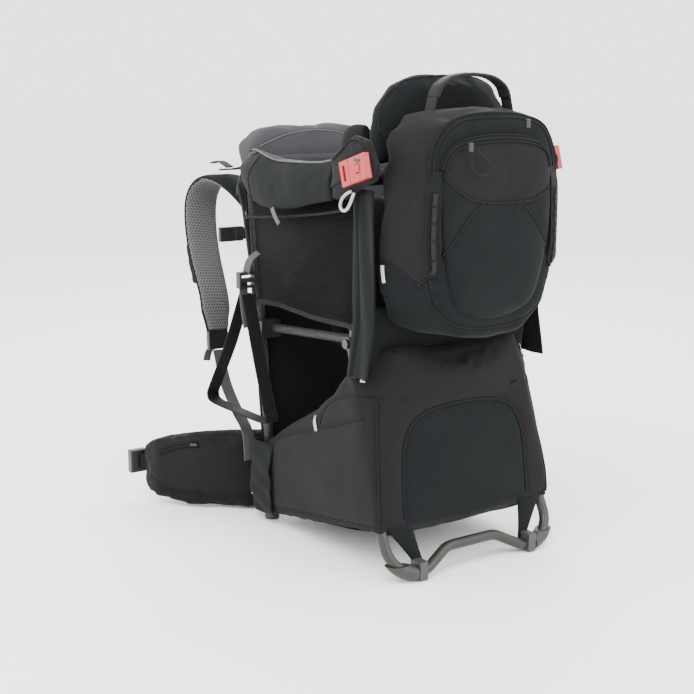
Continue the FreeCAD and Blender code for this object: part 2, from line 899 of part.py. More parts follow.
def wing_outline():
    """The right wing from above: it leaves the lumbar pad and sweeps out and forward."""
    x, y = HINGE_X, HINGE_Y
    reach = "wing_thickness / 2"
    return [
        (f"{x} - {reach}", y),
        (f"{x} - {reach} + 6", f"{y} - {reach} + 6"),
        (x, f"{y} - {reach}"),
        (f"{x} + 40", f"{y} - 4"),
        (f"{x} + 105", f"{y} + 55"),
        (f"{x} + 150", f"{y} + 112"),
        (f"{x} + 158", f"{y} + 150"),
        (f"{x} + 140", f"{y} + 162"),
        (f"{x} + 108", f"{y} + 132"),
        (f"{x} + 68", f"{y} + 84"),
        (f"{x} + 18", f"{y} + 40"),
        (f"{x} - {reach} + 4", f"{y} + 14"),
    ]


def hip_wing(label):
    """A padded wing whose height narrows towards its tip."""
    plan = prism("xy", wing_outline(), 4, "wing_height", fillet=5)
    front = f"{HINGE_Y} + 180"
    side = prism("yz", [
        (f"{HINGE_Y} - 30", 4),
        (f"{HINGE_Y} + 70", 4),
        (f"{HINGE_Y} + 130", 16),
        (f"{HINGE_Y} + 160", 38),
        (front, 44),
        (front, "wing_height - 46"),
        (f"{HINGE_Y} + 160", "wing_height - 38"),
        (f"{HINGE_Y} + 120", "wing_height - 16"),
        (f"{HINGE_Y} + 60", "wing_height"),
        (f"{HINGE_Y} - 30", "wing_height + 4"),
    ], 0, 400)
    return boolean("Part::MultiCommon", [plan, side], label)


def hip_buckle(label):
    """The buckle half at the wing's tip, with its webbing bar."""
    x = f"{HINGE_X} + 141"
    body_box = box(x, f"{HINGE_Y} + 164", "wing_height / 2 - 20", 30, 14, "belt_width")
    slot = box(f"{x} + 8", f"{HINGE_Y} + 160", "wing_height / 2 - 12", 6, 30, "belt_width - 16")
    return boolean("Part::Cut", [body_box, slot], label)


pair(hip_wing, "hip_wing")
pair(hip_buckle, "hip_buckle")

# ---------------------------------------------------------------- child seat


def child_seat():
    """The seat: a pad that turns up into a narrow front between the legs."""
    low = "seat_frame_height - 52"
    pad = "seat_pad"
    outline = [
        ("pivot_back + 64", f"{low} + 14"),
        ("foot_front - 50", low),
        ("foot_front - 30", f"{low} + 6"),
        ("foot_front - 15", f"{low} + 44"),
        ("foot_front - 9", f"{low} + 144"),
        (f"foot_front - 9 - {pad}", f"{low} + 146"),
        (f"foot_front - 16 - {pad}", f"{low} + 50"),
        (f"foot_front - 30 - {pad}", f"{low} + 20"),
        (f"foot_front - 42 - {pad}", f"{low} + {pad}"),
        ("pivot_back + 64", f"{low} + 14 + {pad}"),
    ]
    side = prism("yz", outline, "-seat_half_width", "2 * seat_half_width")
    front = prism("xy", [
        ("-seat_half_width", "pivot_back"),
        ("seat_half_width", "pivot_back"),
        ("seat_half_width", "foot_front - 130"),
        ("seat_half_width - 42", "foot_front - 70"),
        ("seat_half_width - 42", "foot_front"),
        ("42 - seat_half_width", "foot_front"),
        ("42 - seat_half_width", "foot_front - 70"),
        ("-seat_half_width", "foot_front - 130"),
    ], 200, 400)
    return boolean("Part::MultiCommon", [side, front], "child_seat")


def seat_back_pad():
    """The padded back of the seat."""
    outline = [
        ("pivot_back + 50", "seat_frame_height - 22"),
        ("pivot_back + 30", "panel_top - 10"),
        ("pivot_back + 44", "panel_top - 10"),
        ("pivot_back + 63", "seat_frame_height - 20"),
    ]
    return prism("yz", outline, "-seat_half_width - 12", "2 * (seat_half_width + 12)", "seat_back_pad", 4)


def child_straps():
    """The harness straps from the seat's back over the child's shoulders, and the crotch strap."""
    top = size("panel_top")
    y = size("pivot_back")
    low = size("seat_frame_height") - 52 + 24
    line = [
        (42, y + 49, top - 40),
        (46, y + 78, top - 60),
        (42, y + 106, top - 110),
        (24, y + 120, top - 180),
    ]
    straps = [ribbon([(side * x, *rest) for x, *rest in line], web_width, 3) for side in (-1, 1)]
    straps.append(ribbon([(0, y + 122, low), (0, y + 121, top - 224)], web_width, 3))
    return feature(Part.makeCompound(straps), "child_straps")


def child_buckle():
    """The buckle where the child's straps meet."""
    return box(-20, "pivot_back + 114", "panel_top - 222", 40, 12, 36, "child_buckle")


child_seat()
seat_back_pad()
child_straps()
child_buckle()

# ---------------------------------------------------------------- stirrups

STIRRUP_X = half + tube + 36
STIRRUP_TOP = size("seat_frame_height") + 54


def stirrup_loop(label):
    """A long webbing loop: the front band, the flat tread and the return strap."""
    y = foot_y
    line = [
        (STIRRUP_X, y + 2, STIRRUP_TOP - 4),
        (STIRRUP_X, y + 52, STIRRUP_TOP - 96),
        (STIRRUP_X, y + 110, STIRRUP_TOP - 178),
        (STIRRUP_X, y + 118, STIRRUP_TOP - 196),
        (STIRRUP_X, y + 104, STIRRUP_TOP - 207),
        (STIRRUP_X, y + 20, STIRRUP_TOP - 208),
        (STIRRUP_X, y - 66, STIRRUP_TOP - 206),
        (STIRRUP_X, y - 76, STIRRUP_TOP - 196),
        (STIRRUP_X, y - 70, STIRRUP_TOP - 182),
        (STIRRUP_X, y - 36, STIRRUP_TOP - 96),
        (STIRRUP_X, y - 4, STIRRUP_TOP - 4),
    ]
    return feature(ribbon(line, web_width + 2, web), label)


def stirrup_lock(label):
    """The ladder lock at the top of the stirrup, with its webbing slots."""
    shell = Part.makeBox(30, 12, 26, Vector(STIRRUP_X - 15, foot_y - 8, STIRRUP_TOP))
    slot = Part.makeBox(22, 20, 5, Vector(STIRRUP_X - 11, foot_y - 12, STIRRUP_TOP + 4))
    upper = Part.makeBox(22, 20, 5, Vector(STIRRUP_X - 11, foot_y - 12, STIRRUP_TOP + 16))
    return feature(shell.cut(slot).cut(upper), label)


pair(stirrup_loop, "stirrup_loop")
pair(stirrup_lock, "stirrup_lock")

# ---------------------------------------------------------------- daypack

pack_half = size("daypack_half_width")
pack_low = size("daypack_bottom")
pack_high = pack_low + size("daypack_height")
pack_front = size("hoop_back") - tube - 3
pack_rear = pack_front - size("daypack_depth")


def pack_outline(y, rim_points):
    """A closed outline at one depth from its right-hand points."""
    right = [Vector(x, y, z) for x, z in rim_points]
    left = [Vector(-v.x, v.y, v.z) for v in reversed(right) if v.x > 0]
    corners = right + left
    return Part.makePolygon(corners + corners[:1])


def daypack():
    """The main bag: wide where it meets the carrier, narrower and rounded at its rear face."""
    front = [
        (0, pack_high),
        (pack_half - 42, pack_high - 8),
        (pack_half - 12, pack_high - 36),
        (pack_half, pack_high - 110),
        (pack_half, pack_low + 76),
        (pack_half - 22, pack_low + 20),
        (pack_half - 78, pack_low),
        (0, pack_low),
    ]
    rear = [
        (0, pack_high - 14),
        (pack_half - 56, pack_high - 30),
        (pack_half - 36, pack_high - 68),
        (pack_half - 31, pack_high - 130),
        (pack_half - 33, pack_low + 112),
        (pack_half - 54, pack_low + 40),
        (pack_half - 94, pack_low + 6),
        (0, pack_low),
    ]
    wires = [pack_outline(pack_front, front), pack_outline(pack_rear, rear)]
    solid = Part.makeLoft(wires, True, True)
    return feature(solid.makeFillet(6, solid.Faces[-1].Edges), "daypack")


def front_pocket():
    """The raised pocket on the rear face, under the outer zip."""
    depth = size("pocket_depth")
    top = pack_high - 34
    corners = [
        (-92, top - 66),
        (-80, top - 28),
        (-54, top - 8),
        (30, top - 6),
        (72, top - 20),
        (92, top - 52),
        (96, pack_low + 150),
        (84, pack_low + 66),
        (44, pack_low + 28),
        (-40, pack_low + 24),
        (-84, pack_low + 70),
    ]
    y = pack_rear - fit
    return feature(plate([(x, y, z) for x, z in corners], (0, -depth, 0)), "front_pocket")


def zips():
    """The chains of the pocket's zip and of the main zip, along arched seams on the rear of the bag."""
    y = pack_rear - fit - size("pocket_depth") - size("zip_size") / 2 - fit
    chains = []
    for across, up, centre_z in ((82, 62, pack_high - 104), (104, 80, pack_high - 106)):
        line = arc_points((0, y, centre_z), across, up, 168, 12, 14)
        chains.append(ribbon(line, size("zip_size"), size("zip_size"), across=(0, 1, 0)))
    return feature(Part.makeCompound(chains), "zips")


def zip_pulls(places, label):
    """Zip sliders with their pull tabs, one solid each."""
    y = pack_rear - fit - size("pocket_depth") - size("zip_size") - 2 * fit
    return feature(Part.makeCompound([Part.makeBox(7, 4, 12, Vector(x, y - 4, z)) for x, z in places]), label)


def daisy_chain(label):
    """A strip of webbing sewn down the side of the rear face."""
    low = (pack_half - 12, pack_front - size("daypack_depth") * 0.36, pack_low + 84)
    high = (pack_half - 14, pack_front - size("daypack_depth") * 0.44, pack_high - 96)
    lift = Vector(size("daypack_depth"), -(pack_half * 0.22), 0).normalize() * 5
    line = [tuple(Vector(*p) + lift) for p in (low, high)]
    return feature(ribbon(line, web_width, web, across=(lift.y, -lift.x, 0)), label)


def haul_handle():
    """The wide padded grab handle over the top of the bag."""
    y = pack_front - 26
    low = pack_high + 12
    line = [(-66, y, low)] + arc_points((0, y, low), 60, 24, 160, 20, 8) + [(66, y, low)]
    return feature(ribbon(line, 22, 7, across=(0, 1, 0)), "haul_handle")


def cord(points, diameter, label):
    """A cord's tube along hand-placed points, each bend as large as its two runs allow."""
    corners = [Vector(*p) for p in points]
    radii = []
    for before, corner, after in zip(corners, corners[1:], corners[2:]):
        turn = math.pi - (before - corner).getAngle(after - corner)
        shorter = min((before - corner).Length, (after - corner).Length)
        radii.append(0.45 * shorter / math.tan(turn / 2))
    solid = rod(points, diameter / 2, radii)
    length = route(points, radii).Length
    expected = math.pi * diameter ** 2 / 4 * length
    print(label, "length", round(length, 1), "radii", [round(r, 1) for r in radii])
    if abs(solid.Volume - expected) > 0.02 * expected:
        raise RuntimeError(f"{label}: volume {solid.Volume:.0f}, expected {expected:.0f}")
    return feature(solid, label)


SIDE_PULL = [
    (176, -209, 563),
    (176, -196, 558.5),
    (176, -185, 549),
    (176, -182.5, 539),
    (176, -191, 533.5),
    (176, -201.5, 538),
    (176, -209.5, 548.5),
    (176, -217, 561),
]
POCKET_PULL = [
    (-64, -334.5, 616),
    (-65, -334.5, 605),
    (-59.5, -334.5, 593.5),
    (-48.7, -334.5, 587),
    (-38, -334.5, 587),
    (-31, -334.5, 595),
    (-33, -334.5, 605),
    (-42, -334.5, 613.5),
    (-54, -334.5, 619.5),
]


def side_pull(label):
    """The cord loop that hangs below a side buckle."""
    side = 1 if label.endswith("right") else -1
    return cord([(side * x, y, z) for x, y, z in SIDE_PULL], size("side_pull_size"), label)


daypack()
side_pull("side_pull_right")
side_pull("side_pull_left")
cord(POCKET_PULL, size("pocket_pull_size"), "pocket_pull")
front_pocket()
zips()
zip_pulls([(-68, pack_high - 66), (34, pack_high - 36)], "zip_pulls")
group(daisy_chain, "daisy_chains")
haul_handle()

# ---------------------------------------------------------------- check and write

doc.recompute()
for obj in doc.Objects:
    faults = [state for state in obj.State if state in ("Invalid", "Error")]
    if faults:
        raise RuntimeError(f"{obj.Name} {obj.Label}: {obj.State}")
for obj in nodes:
    if obj.Shape.isNull() or not obj.Shape.isValid() or not obj.Shape.Solids:
        raise RuntimeError(f"{obj.Label}: bad shape")
os.makedirs("parts", exist_ok=True)
for obj in nodes:
    obj.Shape.exportStep(f"parts/{obj.Label}.step")
print(len(nodes), "nodes")
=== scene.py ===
"""The looks of a framed baby carrier backpack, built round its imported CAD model.

Metres, +Z up. The daypack and the stand are at -Y, the wearer's back is at +Y.
"""

import math

import bmesh
import bpy
import numpy as np
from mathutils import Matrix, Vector, noise
from mathutils.bvhtree import BVHTree


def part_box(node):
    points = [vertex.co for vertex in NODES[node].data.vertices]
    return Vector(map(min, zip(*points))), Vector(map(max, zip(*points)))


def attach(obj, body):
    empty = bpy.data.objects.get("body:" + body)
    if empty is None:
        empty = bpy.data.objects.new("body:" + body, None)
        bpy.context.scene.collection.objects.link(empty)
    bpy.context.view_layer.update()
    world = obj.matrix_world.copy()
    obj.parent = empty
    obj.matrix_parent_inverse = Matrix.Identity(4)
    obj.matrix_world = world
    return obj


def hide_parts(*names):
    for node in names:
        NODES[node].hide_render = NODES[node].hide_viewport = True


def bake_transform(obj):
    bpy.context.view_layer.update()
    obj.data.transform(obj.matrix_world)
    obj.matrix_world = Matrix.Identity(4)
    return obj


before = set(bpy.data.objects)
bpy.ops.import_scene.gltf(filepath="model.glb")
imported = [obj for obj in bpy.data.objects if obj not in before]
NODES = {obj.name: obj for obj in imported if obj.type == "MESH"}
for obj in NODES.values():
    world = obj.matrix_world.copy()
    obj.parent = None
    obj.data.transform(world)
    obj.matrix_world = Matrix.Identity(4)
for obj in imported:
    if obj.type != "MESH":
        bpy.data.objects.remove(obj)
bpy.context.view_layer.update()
SIDES = ((1, "right"), (-1, "left"))
X_AXIS = Vector((1, 0, 0))
Y_AXIS = Vector((0, 1, 0))
Z_AXIS = Vector((0, 0, 1))

# ---------------------------------------------------------------- camera, cords


def make_camera():
    """Stands behind the carrier's left, a little above it, and looks slightly down."""
    data = bpy.data.cameras.new("camera")
    data.lens = 66.4
    data.sensor_width = 36
    camera = bpy.data.objects.new("camera", data)
    camera.location = (-1.1906, -1.68015, 0.711)
    camera.rotation_euler = [math.radians(angle) for angle in (90 - 11.654, 0, -34.4)]
    bpy.context.scene.collection.objects.link(camera)
    bpy.context.scene.camera = camera


def cord_curve(name, points, diameter):
    """A round cord on a smooth line that has these points as its control points."""
    data = bpy.data.curves.new(name, "CURVE")
    data.dimensions = "3D"
    spline = data.splines.new("NURBS")
    spline.points.add(len(points) - 1)
    for point, place in zip(spline.points, points):
        point.co = (*place, 1)
        point.radius = diameter / 2
    spline.order_u = 3
    spline.use_endpoint_u = True
    spline.resolution_u = 8
    data.bevel_depth = 1
    data.bevel_resolution = 4
    data.use_fill_caps = True
    cord = bpy.data.objects.new(name, data)
    bpy.context.scene.collection.objects.link(cord)
    return cord


make_camera()

SIDE_PULL = [
    (0.176, -0.20735, 0.563),
    (0.176, -0.19435, 0.5585),
    (0.176, -0.18335, 0.549),
    (0.176, -0.18085, 0.539),
    (0.176, -0.18935, 0.5335),
    (0.176, -0.19985, 0.538),
    (0.176, -0.20785, 0.5485),
    (0.176, -0.21535, 0.561),
]
POCKET_PULL = [
    (-0.064, -0.33285, 0.616),
    (-0.065, -0.33285, 0.605),
    (-0.0595, -0.33285, 0.5935),
    (-0.0487, -0.33285, 0.587),
    (-0.038, -0.33285, 0.587),
    (-0.031, -0.33285, 0.595),
    (-0.033, -0.33285, 0.605),
    (-0.042, -0.33285, 0.6135),
    (-0.054, -0.33285, 0.6195),
]


def make_cords():
    """The pull loops below the side buckles, and the one on the pocket's zip."""
    cords = {}
    for side, word in SIDES:
        points = [(side * x, y, z) for x, y, z in SIDE_PULL]
        cord = cord_curve(f"side_pull_cord_{word}", points, 0.0045)
        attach(cord, "frame")
        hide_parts(f"side_pull_{word}")
        cords[word] = cord
    cord = cord_curve("pocket_pull_cord", POCKET_PULL, 0.0026)
    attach(cord, "daypack")
    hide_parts("pocket_pull")
    cords["pocket"] = cord
    return cords


cords = make_cords()

# ---------------------------------------------------------------- materials


class Graph:
    """A material's nodes, with a short method for each kind that is used here."""

    def __init__(self, name, roughness, metallic=0.0, sheen=0.0, coat=0.0, specular=0.5):
        self.material = bpy.data.materials.new(name)
        self.material.use_nodes = True
        self.tree = self.material.node_tree
        self.shader = self.tree.nodes["Principled BSDF"]
        self.shader.inputs["Roughness"].default_value = roughness
        self.shader.inputs["Metallic"].default_value = metallic
        self.shader.inputs["Sheen Weight"].default_value = sheen
        self.shader.inputs["Sheen Roughness"].default_value = 0.5
        self.shader.inputs["Coat Weight"].default_value = coat
        self.shader.inputs["Specular IOR Level"].default_value = specular

    def node(self, kind, inputs, **settings):
        """Adds a node. inputs gives each socket a number or another node's output."""
        node = self.tree.nodes.new("ShaderNode" + kind)
        for key, value in settings.items():
            setattr(node, key, value)
        for key, value in inputs.items():
            if isinstance(value, bpy.types.NodeSocket):
                self.tree.links.new(value, node.inputs[key])
            else:
                node.inputs[key].default_value = value
        return node

    def weave(self):
        """Places on the cloth in metres, from the mesh's own attribute."""
        return self.node("Attribute", {}, attribute_name="weave").outputs["Vector"]

    def place(self):
        return self.node("TexCoord", {}).outputs["Object"]

    def ripple(self, place, degrees, pitch):
        """Waves from -1 to 1 that run across the cloth in one direction."""
        turn = math.radians(degrees)
        rate = 2 * math.pi / pitch
        direction = (rate * math.cos(turn), rate * math.sin(turn), 0)
        phase = self.node("VectorMath", {0: place, 1: direction}, operation="DOT_PRODUCT").outputs["Value"]
        return self.maths("COSINE", phase)

    def maths(self, operation, a, b=0.0):
        return self.node("Math", {0: a, 1: b}, operation=operation).outputs["Value"]

    def noise(self, place, scale, detail=3.0):
        return self.node("TexNoise", {"Vector": place, "Scale": scale, "Detail": detail}).outputs["Fac"]

    def spread(self, value, low, high, to_low=0.0, to_high=1.0):
        inputs = {"Value": value, 1: low, 2: high, 3: to_low, 4: to_high}
        return self.node("MapRange", inputs).outputs["Result"]

    def mix(self, share, a, b):
        node = self.node("Mix", {0: share, 6: a, 7: b}, data_type="RGBA")
        return node.outputs[2]

    def finish(self, colour, height, strength, depth, roughness=None):
        """Links colour, bump and roughness to the shader."""
        bump = self.node("Bump", {"Height": height, "Strength": strength, "Distance": depth})
        self.tree.links.new(colour, self.shader.inputs["Base Color"])
        self.tree.links.new(bump.outputs["Normal"], self.shader.inputs["Normal"])
        if roughness is not None:
            self.tree.links.new(roughness, self.shader.inputs["Roughness"])
        return self.material


TONE = 0.60  # the studio is bright, so each colour is this much darker than its swatch


def shade(colour, factor):
    return (*[min(1.0, channel * factor * TONE) for channel in colour], 1)


WEAVES = {
    # angles of the waves, how they combine, and the pitch of the pattern
    "plain": ((0, 90), "MULTIPLY", 0.0012),
    "dobby": ((38, 142), "MULTIPLY", 0.0052),
    "ripstop": ((22, 112), "MAXIMUM", 0.0048),
    "twill": ((58,), "ADD", 0.0022),
    "spacer": ((0, 60, 120), "ADD", 0.0052),
    "webbing": ((0, 90), "ADD", 0.0021),
}


def fabric(name, colour, weave, contrast=0.25, roughness=0.78, sheen=0.03, relief=0.0004):
    """Woven cloth: a pattern of its own, fine threads, cloudy fading and a little lint."""
    graph = Graph(name, roughness, sheen=sheen, specular=0.07)
    place = graph.weave()
    angles, combine, pitch = WEAVES[weave]
    pattern = graph.ripple(place, angles[0], pitch)
    for angle in angles[1:]:
        pattern = graph.maths(combine, pattern, graph.ripple(place, angle, pitch))
    threads = graph.maths("MULTIPLY", graph.ripple(place, 0, 0.0011), graph.ripple(place, 90, 0.0011))
    cloud = graph.noise(place, 14, 5)
    lint = graph.noise(place, 900, 2)
    figure = graph.spread(pattern, 0.1, 0.95)
    woven = graph.mix(figure, shade(colour, 1 + contrast), shade(colour, 1 - contrast))
    faded = graph.mix(graph.spread(cloud, 0.35, 0.75, 0, 0.5), woven, shade(colour, 1.25))
    linted = graph.mix(graph.spread(lint, 0.62, 0.8, 0, 0.25), faded, shade(colour, 1.7))
    height = graph.maths("ADD", graph.maths("MULTIPLY", figure, -1.0), graph.maths("MULTIPLY", threads, 0.3))
    rough = graph.spread(cloud, 0.3, 0.7, roughness - 0.08, min(1.0, roughness + 0.08))
    return graph.finish(linted, height, 0.45, relief, rough)


def moulded(name, colour, roughness=0.45, coat=0.0):
    """Moulded plastic: a fine grain, flow marks, and lighter worn edges."""
    graph = Graph(name, roughness, coat=coat)
    place = graph.place()
    grain = graph.noise(place, 1400, 2)
    flow = graph.noise(place, 45, 4)
    edge = graph.node("NewGeometry", {}).outputs["Pointiness"]
    worn = graph.spread(edge, 0.54, 0.66, 0, 0.25)
    base = graph.mix(graph.spread(flow, 0.3, 0.7), shade(colour, 0.88), shade(colour, 1.1))
    tinted = graph.mix(worn, base, shade(colour, 1.6))
    rough = graph.spread(flow, 0.3, 0.7, roughness - 0.1, roughness + 0.1)
    return graph.finish(tinted, grain, 0.25, 0.0002, rough)


def metal(name, colour, roughness, metallic):
    """Painted or bare metal: a cloudy tone, and faint scuffs that show lighter and rougher and raise a fine
    bump.
    """
    graph = Graph(name, roughness, metallic=metallic, coat=0.15)
    place = graph.place()
    scuff = graph.noise(place, 220, 6)
    cloud = graph.noise(place, 22, 4)
    base = graph.mix(graph.spread(cloud, 0.3, 0.7), shade(colour, 0.85), shade(colour, 1.15))
    marked = graph.mix(graph.spread(scuff, 0.66, 0.78, 0, 0.4), base, shade(colour, 1.9))
    rough = graph.spread(scuff, 0.3, 0.7, roughness - 0.08, roughness + 0.14)
    return graph.finish(marked, scuff, 0.12, 0.0002, rough)


def reflective(name):
    """Silver retro-reflective tape: tiny beads that catch the light."""
    graph = Graph(name, 0.25, metallic=0.7)
    place = graph.weave()
    beads = graph.maths("MULTIPLY", graph.ripple(place, 0, 0.0016), graph.ripple(place, 90, 0.0016))
    tone = graph.mix(graph.spread(beads, -1, 1), (0.30, 0.30, 0.30, 1), (0.55, 0.55, 0.54, 1))
    return graph.finish(tone, beads, 0.3, 0.0002)


CHARCOAL = (0.0085, 0.0100, 0.0108)
PURPLE_GREY = (0.0140, 0.0120, 0.0138)
LINING_GREY = (0.066, 0.066, 0.071)
M = {
    "charcoal": fabric("charcoal_twill", CHARCOAL, "twill", 0.12),
    "dobby": fabric("dark_dobby", (0.0068, 0.0082, 0.0089), "dobby", 0.5),
    "ripstop": fabric("purple_grey_ripstop", PURPLE_GREY, "ripstop", 0.2),
    "stretch": fabric("stretch_knit", (0.012, 0.014, 0.015), "plain", 0.15, 0.85),
    "lining": fabric("grey_lining", LINING_GREY, "plain", 0.12, 0.85, 0.05),
    "spacer": fabric("spacer_mesh", (0.110, 0.110, 0.114), "spacer", 0.62, 0.8, 0.03, 0.0012),
    "net": fabric("black_net", (0.008, 0.009, 0.0095), "plain", 0.2, 0.7, 0.02),
    "black_webbing": fabric("black_webbing", (0.008, 0.009, 0.0095), "webbing", 0.35, 0.6, 0.02),
    "grey_webbing": fabric("grey_webbing", (0.090, 0.090, 0.094), "webbing", 0.2, 0.65, 0.03),
    "purple_webbing": fabric("purple_webbing", (0.022, 0.019, 0.022), "webbing", 0.3, 0.6, 0.03),
    "thread": fabric("dark_thread", (0.009, 0.010, 0.011), "plain", 0.3, 0.7),
    "grey_piping": fabric("grey_piping", (0.135, 0.135, 0.140), "plain", 0.2, 0.7, 0.03),
    "pale_webbing": fabric("pale_webbing", (0.62, 0.62, 0.57), "webbing", 0.12, 0.7, 0.03),
    "pale_cord": fabric("pale_cord", (0.66, 0.66, 0.61), "plain", 0.15, 0.75),
    "dark_cord": fabric("dark_cord", (0.016, 0.016, 0.018), "plain", 0.2, 0.6),
    "silver": reflective("silver_tape"),
    "black_plastic": moulded("black_plastic", (0.014, 0.015, 0.016), 0.42),
    "grey_plastic": moulded("grey_plastic", (0.050, 0.052, 0.055), 0.5),
    "olive_plastic": moulded("olive_plastic", (0.026, 0.029, 0.023), 0.5),
    "coral_plastic": moulded("coral_plastic", (0.56, 0.030, 0.026), 0.38, 0.05),
    "olive_tube": metal("olive_tube", (0.028, 0.031, 0.024), 0.42, 0.35),
    "dark_sleeve": metal("dark_sleeve", (0.0070, 0.0080, 0.0086), 0.7, 0.0),
    "steel": metal("steel", (0.10, 0.10, 0.10), 0.4, 1.0),
}

# ---------------------------------------------------------------- mesh tools


def spot(node, u, v, w):
    """The point at these shares of a CAD node's box, from its lowest to its highest corner."""
    low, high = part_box(node)
    return Vector([a + (b - a) * share for a, b, share in zip(low, high, (u, v, w))])


def coordinates(mesh):
    co = np.empty(len(mesh.vertices) * 3)
    mesh.vertices.foreach_get("co", co)
    return co.reshape(-1, 3)


def set_coordinates(mesh, co):
    mesh.vertices.foreach_set("co", co.ravel())
    mesh.update()


def normals(mesh):
    values = np.empty(len(mesh.vertices) * 3)
    mesh.vertices.foreach_get("normal", values)
    return values.reshape(-1, 3)


def new_piece(name, mesh, look):
    """Links a mesh as an object with one of the looks above."""
    piece = bpy.data.objects.new(name, mesh)
    bpy.context.scene.collection.objects.link(piece)
    mesh.materials.clear()
    mesh.materials.append(M[look])
    piece["look"] = look
    return piece


def from_faces(name, points, faces, look, smooth=True):
    mesh = bpy.data.meshes.new(name)
    mesh.from_pydata([tuple(p) for p in points], [], faces)
    mesh.polygons.foreach_set("use_smooth", [smooth] * len(mesh.polygons))
    mesh.update()
    return new_piece(name, mesh, look)


def apply_modifiers(piece):
    """Replaces the piece's mesh with what its modifiers make of it."""
    graph = bpy.context.evaluated_depsgraph_get()
    mesh = bpy.data.meshes.new_from_object(piece.evaluated_get(graph))
    piece.modifiers.clear()
    piece.data = mesh


def modify(piece, kind, **settings):
    """Adds one modifier and applies it at once."""
    modifier = piece.modifiers.new(kind.lower(), kind)
    for key, value in settings.items():
        setattr(modifier, key, value)
    apply_modifiers(piece)
    return piece


def box_weave(piece):
    """Gives each corner its place on the cloth, seen along the axis that its face looks along."""
    mesh = piece.data
    mesh.polygons.foreach_set("use_smooth", [True] * len(mesh.polygons))
    count = len(mesh.loops)
    vertex = np.empty(count, np.int32)
    mesh.loops.foreach_get("vertex_index", vertex)
    face_normals = np.empty(len(mesh.polygons) * 3)
    mesh.polygons.foreach_get("normal", face_normals)
    totals = np.empty(len(mesh.polygons), np.int32)
    mesh.polygons.foreach_get("loop_total", totals)
    facing = np.abs(face_normals.reshape(-1, 3)).argmax(1).repeat(totals)
    co = coordinates(mesh)[vertex]
    first = np.where(facing == 0, co[:, 1], co[:, 0])
    second = np.where(facing == 2, co[:, 1], co[:, 2])
    values = np.stack([first, second, np.zeros(count)], 1)
    set_weave(mesh, values)
    return piece


def set_weave(mesh, values):
    attribute = mesh.attributes.get("weave") or mesh.attributes.new("weave", "FLOAT_VECTOR", "CORNER")
    attribute.data.foreach_set("vector", values.astype(np.float32).ravel())


def smooth_line(points, step=0.004, closed=False):
    """A smooth curve through the points, as points about one step apart."""
    points = [Vector(p) for p in points]
    last = len(points)
    spans = last if closed else last - 1
    line = []
    for i in range(spans):
        if closed:
            before, start, end, after = [points[(i + k) % last] for k in (-1, 0, 1, 2)]
        else:
            before, start, end, after = [points[min(max(i + k, 0), last - 1)] for k in (-1, 0, 1, 2)]
        pieces = max(1, round((end - start).length / step))
        for k in range(pieces):
            t = k / pieces
            square = 2 * before - 5 * start + 4 * end - after
            cube = 3 * start - before - 3 * end + after
            line.append(0.5 * (2 * start + (end - before) * t + square * t ** 2 + cube * t ** 3))
    if not closed:
        line.append(points[-1])
    return line


def round_section(width, thickness, points=16, power=2.6):
    """A closed flat oval, nearly a rectangle with round edges for a large power."""
    section = []
    for k in range(points):
        turn = 2 * math.pi * k / points
        c, s = math.cos(turn), math.sin(turn)
        section.append((math.copysign(abs(c) ** (2 / power), c) * width / 2,
                        math.copysign(abs(s) ** (2 / power), s) * thickness / 2))
    return section


def sweep(name, line, section, look, across=X_AXIS, closed=False, scale=None):
    """Moves a closed section along a line. across is the section's first direction, one for all points or one
    for each. The cloth's threads follow the line."""
    count = len(line)
    rows = []
    run = 0.0
    runs = []
    for i, point in enumerate(line):
        before = line[i - 1] if i or closed else point
        after = line[(i + 1) % count] if i < count - 1 or closed else point
        tangent = (after - before).normalized()
        wide = Vector(across[i] if isinstance(across, list) else across)
        wide = (wide - tangent * wide.dot(tangent)).normalized()
        high = tangent.cross(wide)
        size = scale[i] if scale else 1.0
        rows.append([point + wide * a * size + high * b * size for a, b in section])
        run += (point - line[i - 1]).length if i else 0.0
        runs.append(run)
    sides = len(section)
    points = [p for row in rows for p in row]
    faces = []
    places = []
    girth = [0.0]
    for k in range(sides):
        (a, b), (c, d) = section[k], section[(k + 1) % sides]
        girth.append(girth[-1] + math.hypot(c - a, d - b))
    for i in range(count if closed else count - 1):
        j = (i + 1) % count
        far = runs[j] if j else run + (line[0] - line[-1]).length
        for k in range(sides):
            m = (k + 1) % sides
            faces.append((i * sides + k, i * sides + m, j * sides + m, j * sides + k))
            places += [(runs[i], girth[k], 0), (runs[i], girth[k + 1], 0), (far, girth[k + 1], 0),
                       (far, girth[k], 0)]
    if not closed:
        for start, order in ((0, -1), ((count - 1) * sides, 1)):
            ring = list(range(sides))[::order]
            faces.append([start + k for k in ring])
            places += [(section[k][0], section[k][1], 0) for k in ring]
    piece = from_faces(name, points, faces, look)
    set_weave(piece.data, np.array(places))
    return piece


def tube(name, line, radius, look, closed=False):
    """A round cord, piping or seam bead along a line."""
    return sweep(name, line, round_section(2 * radius, 2 * radius, 8, 2), look, guide(line), closed)


def guide(line):
    """The axis that the line runs along least, for a round section."""
    steps = [b - a for a, b in zip(line, line[1:])]
    return min((X_AXIS, Y_AXIS, Z_AXIS), key=lambda axis: sum(abs(step.dot(axis)) for step in steps))


